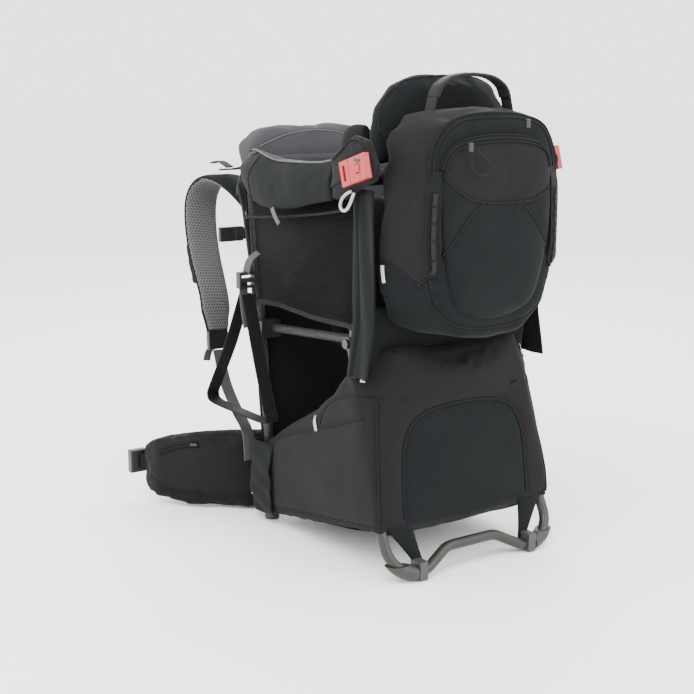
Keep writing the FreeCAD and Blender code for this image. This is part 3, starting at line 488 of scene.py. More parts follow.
def join(name, pieces):
    """Makes one object of several meshes, with all their looks and weave places."""
    target = bmesh.new()
    looks = []
    for piece in pieces:
        start = len(target.faces)
        target.from_mesh(piece.data)
        target.faces.ensure_lookup_table()
        slots = []
        for material in piece.data.materials:
            if material not in looks:
                looks.append(material)
            slots.append(looks.index(material))
        for face in target.faces[start:]:
            face.material_index = slots[min(face.material_index, len(slots) - 1)]
    mesh = bpy.data.meshes.new(name)
    target.to_mesh(mesh)
    target.free()
    joined = bpy.data.objects.new(name, mesh)
    bpy.context.scene.collection.objects.link(joined)
    for material in looks:
        mesh.materials.append(material)
    joined["look"] = pieces[0]["look"]
    for piece in pieces:
        bpy.data.objects.remove(piece)
    return joined


def surface(name, rows, thickness, look):
    """A sheet of cloth through a grid of points, with its thickness to both sides."""
    wide = len(rows[0])
    points = [p for row in rows for p in row]
    faces = [(i * wide + k, i * wide + k + 1, (i + 1) * wide + k + 1, (i + 1) * wide + k)
             for i in range(len(rows) - 1) for k in range(wide - 1)]
    piece = from_faces(name, points, faces, look)
    modify(piece, "SOLIDIFY", thickness=thickness, offset=0)
    return box_weave(piece)


def put(piece, body, *nodes):
    """Rides the piece on a body, and hides the CAD nodes that it stands for.

    Given two bodies and the points where the first ends and the second begins, it only bakes the piece's place
    into its mesh and rides on neither.
    """
    if isinstance(body, str):
        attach(piece, body)
    else:
        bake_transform(piece)
    if nodes:
        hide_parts(*nodes)
    return piece


# ---------------------------------------------------------------- soft pieces


def soft_copy(name, node, look, voxel=0.005, rounds=6):
    """A CAD soft solid as an even mesh with rounded edges."""
    piece = new_piece(name, NODES[node].data.copy(), look)
    modify(piece, "REMESH", mode="VOXEL", voxel_size=voxel)
    modify(piece, "SMOOTH", factor=0.5, iterations=rounds)
    return piece


def distance_to(co, lines):
    """How far each point is from the nearest of the lines."""
    nearest = np.full(len(co), 1.0)
    for line in lines:
        for a, b in zip(line, line[1:]):
            a, b = np.array(a), np.array(b)
            run = b - a
            share = np.clip((co - a) @ run / max(run @ run, 1e-12), 0, 1)
            nearest = np.minimum(nearest, np.linalg.norm(co - (a + share[:, None] * run), axis=1))
    return nearest


def inflate(piece, cap, seams=(), pressure=4.0):
    """Cloth physics: air swells the closed piece between its seams, which stay where they are."""
    start = coordinates(piece.data)
    modifier = piece.modifiers.new("cloth", "CLOTH")
    cloth = modifier.settings
    cloth.quality = 4
    cloth.mass = 0.25
    cloth.tension_stiffness = 12
    cloth.compression_stiffness = 12
    cloth.bending_stiffness = 0.4
    cloth.use_pressure = True
    cloth.uniform_pressure_force = pressure
    cloth.effector_weights.gravity = 0
    if seams:
        held = np.nonzero(distance_to(start, seams) < 0.0045)[0]
        group = piece.vertex_groups.new(name="seam")
        group.add([int(i) for i in held], 1.0, "REPLACE")
        cloth.vertex_group_mass = "seam"
    modifier.point_cache.frame_end = 20
    for step in range(1, 21):
        bpy.context.scene.frame_set(step)
    graph = bpy.context.evaluated_depsgraph_get()
    moved = coordinates(piece.evaluated_get(graph).data)
    piece.modifiers.clear()
    piece.vertex_groups.clear()
    bpy.context.scene.frame_set(1)
    shift = moved - start
    length = np.linalg.norm(shift, axis=1, keepdims=True)
    set_coordinates(piece.data, start + shift * np.minimum(1, cap / np.maximum(length, 1e-9)))
    modify(piece, "SUBSURF", levels=1)
    return piece


def crease(piece, seams, depth=0.0022, width=0.005):
    """Pulls the cloth in along its seams."""
    co = coordinates(piece.data)
    pull = depth * np.exp(-(distance_to(co, seams) / width) ** 2)
    set_coordinates(piece.data, co - normals(piece.data) * pull[:, None])


def wrinkle(piece, height, size, seed, stretch=(1, 1, 1)):
    """Slack folds and puckers over the whole piece."""
    co = coordinates(piece.data)
    spread = np.array(stretch) / size
    lift = [noise.noise(Vector(p * spread) + Vector((seed, 0, 0))) for p in co]
    fine = [noise.noise(Vector(p * spread * 2.7) + Vector((0, seed, 0))) for p in co]
    lift = np.array(lift) + 0.4 * np.array(fine)
    set_coordinates(piece.data, co + normals(piece.data) * (lift * height)[:, None])


def inside(points, outline):
    """Which 2-D points lie inside a closed outline."""
    x, y = points[:, 0], points[:, 1]
    within = np.zeros(len(points), bool)
    for (x1, y1), (x2, y2) in zip(outline, outline[1:] + outline[:1]):
        if y1 != y2:
            within ^= ((y1 > y) != (y2 > y)) & (x < (x2 - x1) * (y - y1) / (y2 - y1) + x1)
    return within


def faces_of(piece):
    """Centres and normals of a piece's faces."""
    count = len(piece.data.polygons)
    centres, directions = np.empty(count * 3), np.empty(count * 3)
    piece.data.polygons.foreach_get("center", centres)
    piece.data.polygons.foreach_get("normal", directions)
    return centres.reshape(-1, 3), directions.reshape(-1, 3)


def paint(piece, look, chosen):
    """Gives the chosen faces another look."""
    piece.data.materials.append(M[look])
    index = np.empty(len(piece.data.polygons), np.int32)
    piece.data.polygons.foreach_get("material_index", index)
    index[chosen] = len(piece.data.materials) - 1
    piece.data.polygons.foreach_set("material_index", index)


def evened(vectors):
    """Each vector but the first and last, drawn halfway to the mean of its neighbours."""
    middle = [(a + 2 * b + c) / 4 for a, b, c in zip(vectors, vectors[1:], vectors[2:])]
    return [vectors[0], *middle, vectors[-1]]


class Skin:
    """The outer surface of one or more pieces, for laying seams, tapes and zips on it."""

    def __init__(self, *pieces):
        points, faces = [], []
        for piece in pieces:
            start = len(points)
            points += [v.co.copy() for v in piece.data.vertices]
            faces += [[start + i for i in p.vertices] for p in piece.data.polygons]
        self.tree = BVHTree.FromPolygons(points, faces)

    def lay(self, points, looking, lift=0.0, step=0.004, closed=False):
        """Carries a smooth line through the points onto the surface, along a viewing direction."""
        line, ups = [], []
        looking = Vector(looking)
        for point in smooth_line(points, step, closed):
            hit, normal, _, _ = self.tree.ray_cast(point - looking * 0.4, looking)
            if hit is None:
                hit, normal, _, _ = self.tree.find_nearest(point)
            if normal.dot(looking) > 0:
                normal = -normal
            line.append(hit)
            ups.append(normal)
        for _ in range(3):
            line, ups = evened(line), [up.normalized() for up in evened(ups)]
        return [point + up * lift for point, up in zip(line, ups)], ups


def across_of(line, ups):
    """For each point of a line on a surface, the direction across it, in the surface."""
    found = []
    for i in range(len(line)):
        tangent = line[min(i + 1, len(line) - 1)] - line[max(i - 1, 0)]
        found.append(ups[i].cross(tangent).normalized())
    return found


def stitches(name, line, ups, look="thread", gap=0.0038, length=0.0024, offset=0.0):
    """A row of raised stitches beside a line on a surface."""
    wide = across_of(line, ups)
    points, faces = [], []
    run = 0.0
    following = 0.0
    for i in range(1, len(line)):
        run += (line[i] - line[i - 1]).length
        if run < following:
            continue
        following = run + gap
        along = (line[i] - line[i - 1]).normalized() * length / 2
        side = wide[i] * 0.0004
        top = ups[i] * 0.0005
        middle = line[i] + wide[i] * offset
        start = len(points)
        points += [middle - along - side, middle - along + side, middle + along + side, middle + along - side,
                   middle - along * 0.6 + top, middle + along * 0.6 + top]
        faces += [[start + k for k in face]
                  for face in ((0, 3, 2, 1), (0, 1, 4), (2, 3, 5), (1, 2, 5, 4), (3, 0, 4, 5))]
    return box_weave(from_faces(name, points, faces, look, smooth=False))


def seam(name, skin, points, looking, body, bead=0.0011, look="thread", rows=(0.0032,), closed=False):
    """A sewn seam: a bead of piping in the channel, and rows of stitches beside it."""
    line, _ = skin.lay(points, looking, bead * 0.3, closed=closed)
    pieces = [tube(name + "_bead", line, bead, look, closed)]
    fine, fine_ups = skin.lay(points, looking, 0.0001, step=0.0019, closed=closed)
    pieces += [stitches(f"{name}_row", fine, fine_ups, offset=offset) for offset in rows]
    return put(join(name, pieces), body)


def zip_fastener(name, skin, points, looking, body, width=0.013, *nodes):
    """A zip: its tape, a piped lip on each side and the chain of teeth between them."""
    line, ups = skin.lay(points, looking, 0.0008)
    wide = across_of(line, ups)
    tape = sweep(name + "_tape", line, round_section(width, 0.0010), "charcoal", wide)
    lips = []
    for side in (-1, 1):
        edge = [p + w * side * width * 0.40 + u * 0.0005 for p, w, u in zip(line, wide, ups)]
        lips.append(tube(f"{name}_lip", edge, 0.0010, "thread"))
    fine, fine_ups = skin.lay(points, looking, 0.0022, step=0.0016)
    teeth = stitches(name + "_teeth", fine, fine_ups, "thread", 0.0018, 0.0010)
    middle = sweep(name + "_chain", [p + u * 0.0012 for p, u in zip(line, ups)],
                   round_section(0.0030, 0.0012),
                   "thread", wide)
    return put(join(name, [tape, *lips, middle, teeth]), body, *nodes)


def webbing(name, points, width, thickness, look, body, across=X_AXIS, nodes=(), step=0.004):
    """A woven strap along a smooth line, with a thicker edge on each side."""
    line = smooth_line(points, step)
    pieces = [sweep(name + "_band", line, round_section(width, thickness, 16, 5), look, across)]
    for side in (-1, 1):
        edge = []
        for i, point in enumerate(line):
            tangent = (line[min(i + 1, len(line) - 1)] - line[max(i - 1, 0)]).normalized()
            wide = Vector(across)
            wide = (wide - tangent * wide.dot(tangent)).normalized()
            edge.append(point + wide * side * (width / 2 - 0.0009))
        pieces.append(tube(f"{name}_edge", edge, thickness * 0.55 + 0.0002, look))
    return put(join(name, pieces), body, *nodes)


def hardware(node, look, body, edge=0.0012):
    """A moulded CAD piece whose edges are rounded by about this much."""
    piece = new_piece(f"{node}_moulded", NODES[node].data.copy(), look)
    modify(piece, "REMESH", mode="VOXEL", voxel_size=max(0.0005, edge * 0.45))
    modify(piece, "SMOOTH", factor=0.5, iterations=5)
    piece.data.polygons.foreach_set("use_smooth", [True] * len(piece.data.polygons))
    return put(piece, body, node)


# ---------------------------------------------------------------- frame and fittings


CAD_LOOKS = {
    "dark_sleeve": ("main_frame", "frame_crossbars", "seat_frame", "rear_stays"),
    "olive_tube": ("kickstand_tube",),
    "olive_plastic": ("kickstand_feet", "frame_feet"),
    "steel": ("kickstand_pins",),
    "grey_plastic": ("gusset_clips",),
    "black_plastic": ("frame_clamps", "kickstand_brackets"),
}


def buckle_details():
    """The grip ribs on each side buckle's outer face, and the strap that enters its rear end."""
    for side, word in SIDES:
        low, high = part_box(f"side_buckle_{word}")
        face = max(abs(low.x), abs(high.x)) * side
        middle = (low + high) / 2
        for index, share in enumerate((0.22, 0.32, 0.42)):
            z = low.z + (high.z - low.z) * share
            line = [Vector((face, middle.y + k * 0.0042, z)) for k in (-2, -1, 0, 1, 2)]
            put(tube(f"buckle_rib_{word}_{index}", line, 0.0009, "coral_plastic"), "frame")
        window = smooth_line([(face, middle.y - 0.007, high.z - 0.012),
                              (face, middle.y + 0.007, high.z - 0.012)], 0.002)
        put(sweep(f"buckle_window_{word}", window, round_section(0.0045, 0.0012, 12, 4), "black_plastic",
                  Z_AXIS), "frame")


def dress_frame():
    """The metal tubes keep their CAD shape; moulded fittings get rounded edges."""
    for look, nodes in CAD_LOOKS.items():
        for node in nodes:
            NODES[node].data.materials.clear()
            NODES[node].data.materials.append(M[look])
    for _, word in SIDES:
        hardware(f"side_buckle_{word}", "coral_plastic", "frame", 0.0022)
        hardware(f"side_tongue_{word}", "coral_plastic", f"side_plug_{word}", 0.0018)
        hardware(f"side_button_{word}", "coral_plastic", f"button_{word}", 0.0010)
        hardware(f"stirrup_lock_{word}", "black_plastic", f"stirrup_{word}", 0.0014)
        hardware(f"hip_buckle_{word}", "black_plastic", f"hipbelt_{word}", 0.0025)
    buckle_details()
    hardware("sternum_buckle", "black_plastic", "harness", 0.0018)
    hardware("sternum_tongue", "black_plastic", "sternum_plug", 0.0014)
    hardware("child_buckle", "black_plastic", "seat", 0.003)
    hardware("strap_ends", "black_plastic", "harness", 0.0025)
    hardware("zip_pulls", "black_plastic", "daypack", 0.0008)


# ---------------------------------------------------------------- base


def base_profile():
    """The lower bag from the side, as (Y, Z)."""
    low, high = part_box("base_compartment")
    shares = [(1, 0), (0.74, 0.04), (0, 0.174), (0.09, 1), (0.167, 1), (0.415, 0.786), (0.579, 0.643),
              (0.854, 0.488), (1, 0.379)]
    return [(low.y + (high.y - low.y) * u, low.z + (high.z - low.z) * v) for u, v in shares]


def base_block(name, look):
    """The lower bag's outer shape, without the slots that the stand's legs swing in."""
    low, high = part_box("base_compartment")
    shape = bmesh.new()
    face = shape.faces.new([shape.verts.new((low.x, y, z)) for y, z in base_profile()])
    pushed = bmesh.ops.extrude_face_region(shape, geom=[face])["geom"]
    moved = [item for item in pushed if isinstance(item, bmesh.types.BMVert)]
    bmesh.ops.translate(shape, verts=moved, vec=(high.x - low.x, 0, 0))
    for side, _ in SIDES:
        lower = Vector((side * high.x, low.y, 0.09))
        inner = Vector((side * (high.x - 0.056), low.y + 0.029, high.z + 0.004))
        outer = Vector((side * high.x, low.y + 0.088, high.z + 0.004))
        away = (inner - lower).cross(outer - lower).normalized()
        if away.x * side < 0:
            away = -away
        everything = shape.verts[:] + shape.edges[:] + shape.faces[:]
        cut = bmesh.ops.bisect_plane(shape, geom=everything, plane_co=lower, plane_no=away, clear_outer=True)
        rim = [item for item in cut["geom_cut"] if isinstance(item, bmesh.types.BMEdge)]
        bmesh.ops.contextual_create(shape, geom=rim)
    bmesh.ops.recalc_face_normals(shape, faces=shape.faces)
    mesh = bpy.data.meshes.new(name)
    shape.to_mesh(mesh)
    shape.free()
    return new_piece(name, mesh, look)


def mirrored(points):
    """The points, and then their mirror images in the opposite order."""
    return [Vector(p) for p in points] + [Vector((-x, y, z)) for x, y, z in reversed(points) if abs(x) > 1e-6]


def make_base():
    """The big lower bag: ripstop sides, a dobby back inside an arched seam, and stretch side pockets that get
    the ripstop look.
    """
    low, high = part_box("base_compartment")
    bag = base_block("base_bag", "ripstop")
    modify(bag, "REMESH", mode="VOXEL", voxel_size=0.0065)
    modify(bag, "SMOOTH", factor=0.5, iterations=5)
    rough = Skin(bag)
    back = (0, 1, 0)
    rear_y = low.y
    arch = mirrored([(-0.118, rear_y, 0.090), (-0.117, rear_y, 0.14), (-0.113, rear_y, 0.19),
                     (-0.098, rear_y, 0.222), (-0.066, rear_y, 0.240), (0, rear_y, 0.246)])
    corner = [(-0.249, 0.262), (-0.252, 0.225), (-0.258, 0.17), (-0.2645, 0.08)]
    lip = [(0.036, 0.128), (0.020, 0.150), (-0.045, 0.178), (-0.111, 0.199), (-0.217, 0.236)]
    crown = [(-0.110, 0.206), (-0.130, 0.240), (-0.179, 0.262), (-0.222, 0.267), (-0.247, 0.262)]
    hem = [(0.045, 0.030), (-0.053, 0.048), (-0.165, 0.066), (-0.262, 0.082)]
    side_lines = {"corner": corner, "lip": lip, "crown": crown, "hem": hem}
    held = [rough.lay(arch, back)[0]]
    for side, _ in SIDES:
        for line in side_lines.values():
            held.append(rough.lay([(side * high.x, y, z) for y, z in line], (-side, 0, 0))[0])
    inflate(bag, 0.012, held, 3.0)
    wrinkle(bag, 0.0015, 0.085, 3, (1, 1, 0.6))
    crease(bag, held)
    centres, directions = faces_of(bag)
    outline = [(p.x, p.z) for p in smooth_line(arch)] + [(0.119, 0.0), (-0.119, 0.0)]
    paint(bag, "dobby", inside(centres[:, [0, 2]], outline) & (directions[:, 1] < -0.5))
    paint(bag, "charcoal", (directions[:, 2] < -0.6) | (directions[:, 2] > 0.75))
    for side, _ in SIDES:
        below = [(-0.262, 0.06), *corner[::-1][1:3], *lip[::-1], (0.045, 0.03), (-0.053, 0.048),
                 (-0.165, 0.066)]
        pocket = inside(centres[:, [1, 2]], below) & (directions[:, 0] * side > 0.5)
        paint(bag, "ripstop", pocket)
        front = (centres[:, 1] > 0.0) & (directions[:, 0] * side > 0.5) & ~pocket
        paint(bag, "charcoal", front)
    box_weave(bag)
    skin = Skin(bag)
    seam("base_arch_seam", skin, arch, back, "frame", 0.0019, rows=(0.0042,))
    for side, word in SIDES:
        for part, line in side_lines.items():
            points = [(side * high.x, y, z) for y, z in line]
            bead = 0.0018 if part == "corner" else 0.0013
            looking = (-side * 0.7, 0.7, 0) if part == "corner" else (-side, 0, 0)
            seam(f"base_{part}_seam_{word}", skin, points, looking, "frame", bead)
        for part, y, z in (("silver", -0.098, 0.205), ("upper_silver", -0.204, 0.300)):
            tab_line, tab_ups = skin.lay([(side * high.x, y, z + 0.011),
                                          (side * high.x, y - 0.003, z - 0.013)],
                                         (-side, 0, 0), 0.0014, 0.003)
            tab = sweep(f"base_{part}_tab_{word}", tab_line, round_section(0.008, 0.0014, 12, 5), "silver",
                        across_of(tab_line, tab_ups))
            put(tab, "frame")
    open_bottom(bag)
    put(bag, "frame", "base_compartment")


def open_bottom(bag):
    """Cuts the openings that the stand's legs leave through."""
    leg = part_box("kickstand_tube")[1].x
    shape = bmesh.new()
    shape.from_mesh(bag.data)
    gone = [f for f in shape.faces if f.normal.z < -0.5
            and abs(abs(f.calc_center_median().x) - leg + 0.008) < 0.011
            and f.calc_center_median().y < -0.09]
    bmesh.ops.delete(shape, geom=gone, context="FACES")
    shape.to_mesh(bag.data)
    shape.free()


def make_wraps():
    """The fabric that wraps round each front foot and up to the hipbelt's root."""
    low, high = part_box("base_sides")
    for side, word in SIDES:
        plan = [(high.x - 0.002, low.y - 0.03), (high.x, low.y), (high.x - 0.001, high.y - 0.016),
                (high.x - 0.006, high.y - 0.003), (high.x - 0.016, high.y + 0.002),
                (high.x - 0.034, high.y + 0.002)]
        line = smooth_line([(side * x, y, 0) for x, y in plan], 0.005)
        rows = []
        for share in np.linspace(0, 1, 26):
            row = []
            for k, point in enumerate(line):
                along = k / (len(line) - 1)
                bottom = low.z + 0.010 - 0.006 * along
                top = high.z - 0.012 * along ** 2 + 0.004
                bulge = 0.0085 * math.sin(math.pi * share) ** 0.7 * (1 - 0.5 * along)
                ripple = 0.0016 * math.sin(11 * share + 6 * along) + 0.0010 * math.sin(23 * share - 9 * along)
                row.append(point + Vector((side * (bulge + ripple), 0, bottom + (top - bottom) * share)))
            rows.append(row if side > 0 else row[::-1])
        wrap = surface(f"base_wrap_{word}", rows, 0.0026, "charcoal")
        skin = Skin(wrap)
        edge = [(side * (high.x + 0.01), low.y + share * (high.y - low.y - 0.014), low.z + 0.014)
                for share in (0, 0.5, 1)]
        seam(f"base_wrap_hem_{word}", skin, edge, (-side, 0, 0), "frame", 0.0012)
        if side > 0:
            put(wrap, "frame", "base_sides")
        else:
            put(wrap, "frame")


# ---------------------------------------------------------------- back panel


def make_back():
    """The panel against the wearer's back and its lumbar pad, both of spacer mesh over foam; the panel's mesh
    gets the net look.
    """
    for node, cap, voxel in (("back_panel", 0.003, 0.005), ("lumbar_pad", 0.006, 0.005)):
        pad = soft_copy(f"{node}_foam", node, "charcoal", voxel, 4)
        inflate(pad, cap)
        centres, directions = faces_of(pad)
        low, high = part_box(node)
        margin = 0.014
        middle = (np.abs(centres[:, 0]) < high.x - margin) & (directions[:, 1] > 0.4)
        middle &= (centres[:, 2] > low.z + margin) & (centres[:, 2] < high.z - margin)
        paint(pad, "net" if node == "back_panel" else "spacer", middle)
        box_weave(pad)
        put(pad, "frame", node)
        skin = Skin(pad)
        ring = [(x, high.y, z) for x,
                z in ((-high.x + margin, low.z + margin), (high.x - margin, low.z + margin),
                                             (high.x - margin, high.z - margin),
                                             (-high.x + margin, high.z - margin))]
        ring = [Vector(a).lerp(Vector(b), k / 3) for a, b in zip(ring, ring[1:] + ring[:1]) for k in range(3)]
        seam(f"{node}_seam", skin, ring, (0, -1, 0), "frame", 0.0012, closed=True)


# ---------------------------------------------------------------- cockpit


def hex_net(name, outline, x, pitch, bow, look):
    """A real net: six-sided holes in a thin sheet that lies in a plane across X and bows inward."""
    low_y, high_y = min(p[0] for p in outline), max(p[0] for p in outline)
    low_z, high_z = min(p[1] for p in outline), max(p[1] for p in outline)
    rise = pitch * math.sqrt(3) / 2
    shape = bmesh.new()
    made = {}

    def vertex(y, z):
        key = (round(y * 20000), round(z * 20000))
        if key not in made:
            made[key] = shape.verts.new((0, y, z))
        return made[key]

    centres = [(low_y + (column + 0.5 * (row % 2)) * pitch, low_z + row * rise)
               for row in range(int((high_z - low_z) / rise) + 1)
               for column in range(int((high_y - low_y) / pitch) + 1)]
    kept = inside(np.array(centres), outline)
    for (y, z), keep in zip(centres, kept):
        if keep:
            corners = [vertex(y + pitch / math.sqrt(3) * math.cos(math.radians(a)),
                              z + pitch / math.sqrt(3) * math.sin(math.radians(a)))
                              for a in range(30, 390, 60)]
            shape.faces.new(corners)
    holes = shape.faces[:]
    bmesh.ops.inset_individual(shape, faces=holes, thickness=pitch * 0.25)
    bmesh.ops.delete(shape, geom=holes, context="FACES")
    for v in shape.verts:
        across = math.sin(math.pi * (v.co.y - low_y) / (high_y - low_y))
        up = math.sin(math.pi * (v.co.z - low_z) / (high_z - low_z))
        fold = 0.0016 * math.sin(v.co.y * 46 + v.co.z * 30)
        v.co.x = x - math.copysign(bow * across * up + fold * across * up, x)
    mesh = bpy.data.meshes.new(name)
    shape.to_mesh(mesh)
    shape.free()
    piece = new_piece(name, mesh, look)
    modify(piece, "SOLIDIFY", thickness=0.0011, offset=0)
    return box_weave(piece)


def make_side_walls():
    """Each side of the cockpit: a mesh panel in a bound edge, a black sheet inside it as partly painted shade
    for the dim cockpit seen through the net, and a plain strip behind.
    """
    for side, word in SIDES:
        node = f"side_mesh_{word}"
        low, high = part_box(node)
        shares = [(1, 1), (0.863, 0.01), (0.64, 0.028), (0.346, 0), (0.213, 0), (0.006, 0.01), (0, 0.968)]
        outline = [(low.y + (high.y - low.y) * u, low.z + (high.z - low.z) * v) for u, v in shares]
        x = side * (abs(low.x) + abs(high.x)) / 2
        net = hex_net(f"side_net_{word}", outline, x, 0.0046, 0.004, "net")
        put(net, "frame", node)
        ring = [Vector((x, y, z)) for y, z in outline]
        # A black sheet 12 mm inside the net, partly painted shade: the cockpit's inside seen through the net
        # is partly its dark cloth and partly shade.
        shade_sheet = from_faces(f"side_shade_sheet_{word}", [p - X_AXIS * side * 0.012 for p in ring],
                             [list(range(len(ring)))],
                             "net")
        modify(shade_sheet, "SOLIDIFY", thickness=0.001, offset=0)
        put(box_weave(shade_sheet), "frame")
        dense = [a.lerp(b, k / 4) for a, b in zip(ring, ring[1:] + ring[:1]) for k in range(4)]
        dense = smooth_line(dense, 0.006, closed=True)
        binding = sweep(f"side_binding_{word}", dense, round_section(0.0026, 0.008, 12, 4), "thread",
                        X_AXIS, True)
        put(binding, "frame")
        webbing(f"side_hem_{word}", [(x + side * 0.001, high.y - 0.012, low.z + 0.135),
                                            (x + side * 0.001, high.y - 0.10, low.z + 0.142),
                                            (x + side * 0.001, low.y + 0.09, low.z + 0.158),
                                            (x + side * 0.001, low.y + 0.008, low.z + 0.172)],
                0.004, 0.0014, "thread", "frame", Z_AXIS)
        make_side_strip(side, word)


def make_side_strip(side, word):
    """The plain strip between the mesh and the daypack, with a shallow fold down its length."""
    low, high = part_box("rear_sides")
    x = high.x - 0.0015
    rows = []
    for share in np.linspace(0, 1, 34):
        z = low.z - 0.070 + (high.z - low.z + 0.086) * share
        flare = 0.011 * max(0.0, low.z - z) / 0.070
        row = []
        for u in np.linspace(0, 1, 22):
            y = high.y + 0.002 - (high.y - low.y + 0.016) * u
            fold = 0.0018 * math.exp(-((u - 0.16) / 0.06) ** 2) - 0.0016 * math.exp(-((u - 0.28) / 0.06) ** 2)
            fold += 0.0014 * math.sin(7 * share + 8 * u)
            row.append(Vector((side * (x + fold + flare), y, z)))
        rows.append(row if side < 0 else row[::-1])
    strip = surface(f"side_strip_{word}", rows, 0.0022, "charcoal")
    put(strip, "frame", *(["rear_sides"] if side > 0 else []))


def make_apron():
    """The dark cloth behind the daypack, from the lower bag's top up to the child's seat."""
    low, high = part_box("rear_sides")
    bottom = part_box("base_compartment")[1].z - 0.030
    rows = []
    for share in np.linspace(0, 1, 14):
        z = bottom + (low.z + 0.030 - bottom) * share
        y = high.y - 0.018 - 0.006 * share
        rows.append([Vector((u * (high.x - 0.008), y + 0.0012 * math.sin(9 * u + 5 * share), z))
                     for u in np.linspace(-1, 1, 30)])
    put(surface("rear_apron", rows, 0.002, "charcoal"), "frame")


RIM_STATIONS = [
    # along the rail from the rear, top edge, lower edge, how far the wall bulges, how far the top leans in
    (-0.1490, 0.606, 0.545, 0.000, 0.006),
    (-0.1100, 0.599, 0.537, 0.002, 0.007),
    (-0.0700, 0.597, 0.529, 0.004, 0.008),
    (-0.0300, 0.596, 0.523, 0.005, 0.009),
    (0.0160, 0.596, 0.520, 0.005, 0.010),
    (0.0500, 0.600, 0.521, 0.003, 0.012),
    (0.0800, 0.605, 0.527, 0.000, 0.014),
    (0.1100, 0.608, 0.540, -0.006, 0.016),
    (0.1380, 0.606, 0.556, -0.016, 0.016),
]


def rim_section(side, station):
    """The padded rim in section at one station: over the rail, down outside it, and back up inside."""
    y, top, bottom, bulge, lean = station
    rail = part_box("main_frame")[1]
    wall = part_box("cockpit_rims")[1].x
    outer = wall + bulge
    inner = rail.x - 0.020
    loop = [
        (outer - 0.001, bottom + 0.010), (outer + 0.001, (bottom + top) / 2),
        (outer - lean * 0.5, top - 0.018),
        (outer - lean - 0.004, top - 0.003), (outer - lean - 0.014, top), (inner + 0.010, top - 0.001),
        (inner - 0.006, top - 0.008), (inner - 0.008, top - 0.030), (inner - 0.002, top - 0.052),
        (inner + 0.003, top - 0.030),
        (inner + 0.006, rail.z + 0.003 if top - 0.004 > rail.z + 0.003 else top - 0.004),
        (outer - 0.016, top - 0.010), (outer - 0.012, (bottom + top) / 2), (outer - 0.010, bottom + 0.004),
        (outer - 0.005, bottom),
    ]
    return smooth_line([(side * x, y, z) for x, z in loop], 0.005, closed=True), (outer - lean - 0.006, y,
            top - 0.001)


def make_rims():
    """The padded side rims: soft outer walls, a grey lining inside and grey piping along the top."""
    for side, word in SIDES:
        stations = []
        keys = np.array(RIM_STATIONS)
        for y in np.linspace(keys[0, 0], keys[-1, 0], 46):
            stations.append([y] + [float(np.interp(y, keys[:, 0], keys[:, k])) for k in (1, 2, 3, 4)])
        for k in range(1, 45):
            for column in (1, 2, 3, 4):
                behind, here, ahead = [stations[k + step][column] for step in (-1, 0, 1)]
                stations[k][column] = (behind + 2 * here + ahead) / 4
        count = 44
        rows, piping = [], []
        for station in stations:
            loop, edge = rim_section(side, station)
            rows.append([loop[int(i * len(loop) / count)] for i in range(count)])
            piping.append(Vector((side * edge[0], edge[1], edge[2])))
        points = [p for row in rows for p in row]
        faces = []
        for i in range(len(rows) - 1):
            for k in range(count):
                m = (k + 1) % count
                face = (i * count + k, i * count + m, (i + 1) * count + m, (i + 1) * count + k)
                faces.append(face[::-1] if side > 0 else face)
        faces.append(list(range(count))[::1 if side > 0 else -1])
        faces.append([(len(rows) - 1) * count + k for k in range(count)][::-1 if side > 0 else 1])
        rim = from_faces(f"rim_{word}", points, faces, "charcoal")
        modify(rim, "SUBSURF", levels=1)
        wrinkle(rim, 0.0016, 0.06, 5 + side)
        centres, _ = faces_of(rim)
        rail_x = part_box("main_frame")[1].x
        paint(rim, "lining", (centres[:, 0] * side < rail_x - 0.004))
        paint(rim, "ripstop",
              (centres[:, 1] > 0.074 + (0.6 - centres[:, 2]) * 0.2) & (centres[:, 0] * side > rail_x))
        box_weave(rim)
        put(rim, "frame", *(["cockpit_rims"] if side > 0 else []))
        skin = Skin(rim)
        put(tube(f"rim_piping_{word}", piping[2:-1], 0.0015, "grey_piping"), "frame")
        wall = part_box("cockpit_rims")[1].x + 0.02
        seam(f"rim_front_seam_{word}", skin, [(side * wall, 0.072, 0.598), (side * wall, 0.086, 0.566),
                                              (side * wall, 0.078, 0.532)], (-side, 0, 0), "frame")
        tab = [(side * (wall - 0.014), 0.0035, 0.524), (side * (wall - 0.0155), -0.002, 0.512),
               (side * (wall - 0.018), -0.010, 0.500)]
        webbing(f"rim_tab_{word}", tab, 0.009, 0.002, "grey_piping", "frame", Y_AXIS)
        label_line, label_ups = skin.lay([(side * wall, 0.092, 0.602), (side * wall, 0.116, 0.604)],
                                         (-side, 0, 0), 0.001, 0.003)
        put(sweep(f"rim_label_{word}", label_line, round_section(0.009, 0.0014, 12, 5), "purple_webbing",
                  across_of(label_line, label_ups)), "frame")


def make_rim_corners():
    """The rims' flared rear ends, which carry the side buckles."""
    corners = soft_copy("rim_rear_corners", "rim_corners", "ripstop", 0.0042, 4)
    inflate(corners, 0.006)
    wrinkle(corners, 0.0014, 0.05, 11)
    box_weave(corners)
    put(corners, "frame", "rim_corners")
    low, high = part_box("rim_corners")
    skin = Skin(corners)
    for side, word in SIDES:
        x = side * (high.x + 0.02)
        top = [(x, low.y + 0.016, low.z + 0.056), (x, low.y + 0.032, low.z + 0.084),
               (x, low.y + 0.060, low.z + 0.088),
               (x, low.y + 0.085, low.z + 0.070), (x, high.y - 0.004, low.z + 0.058)]
        seam(f"rim_corner_seam_{word}", skin, top, (-side, 0, 0), "frame", 0.0013)
        strap = [(x, low.y + 0.020, 0.607), (x, low.y + 0.05, 0.598), (x, high.y - 0.010, 0.580),
                 (x, high.y - 0.001, 0.576)]
        line, ups = skin.lay(strap, (-side, 0, 0), 0.0008)
        band = sweep(f"buckle_strap_{word}", line, round_section(0.024, 0.0016, 14, 5), "black_webbing",
                     across_of(line, ups))
        put(band, "frame")


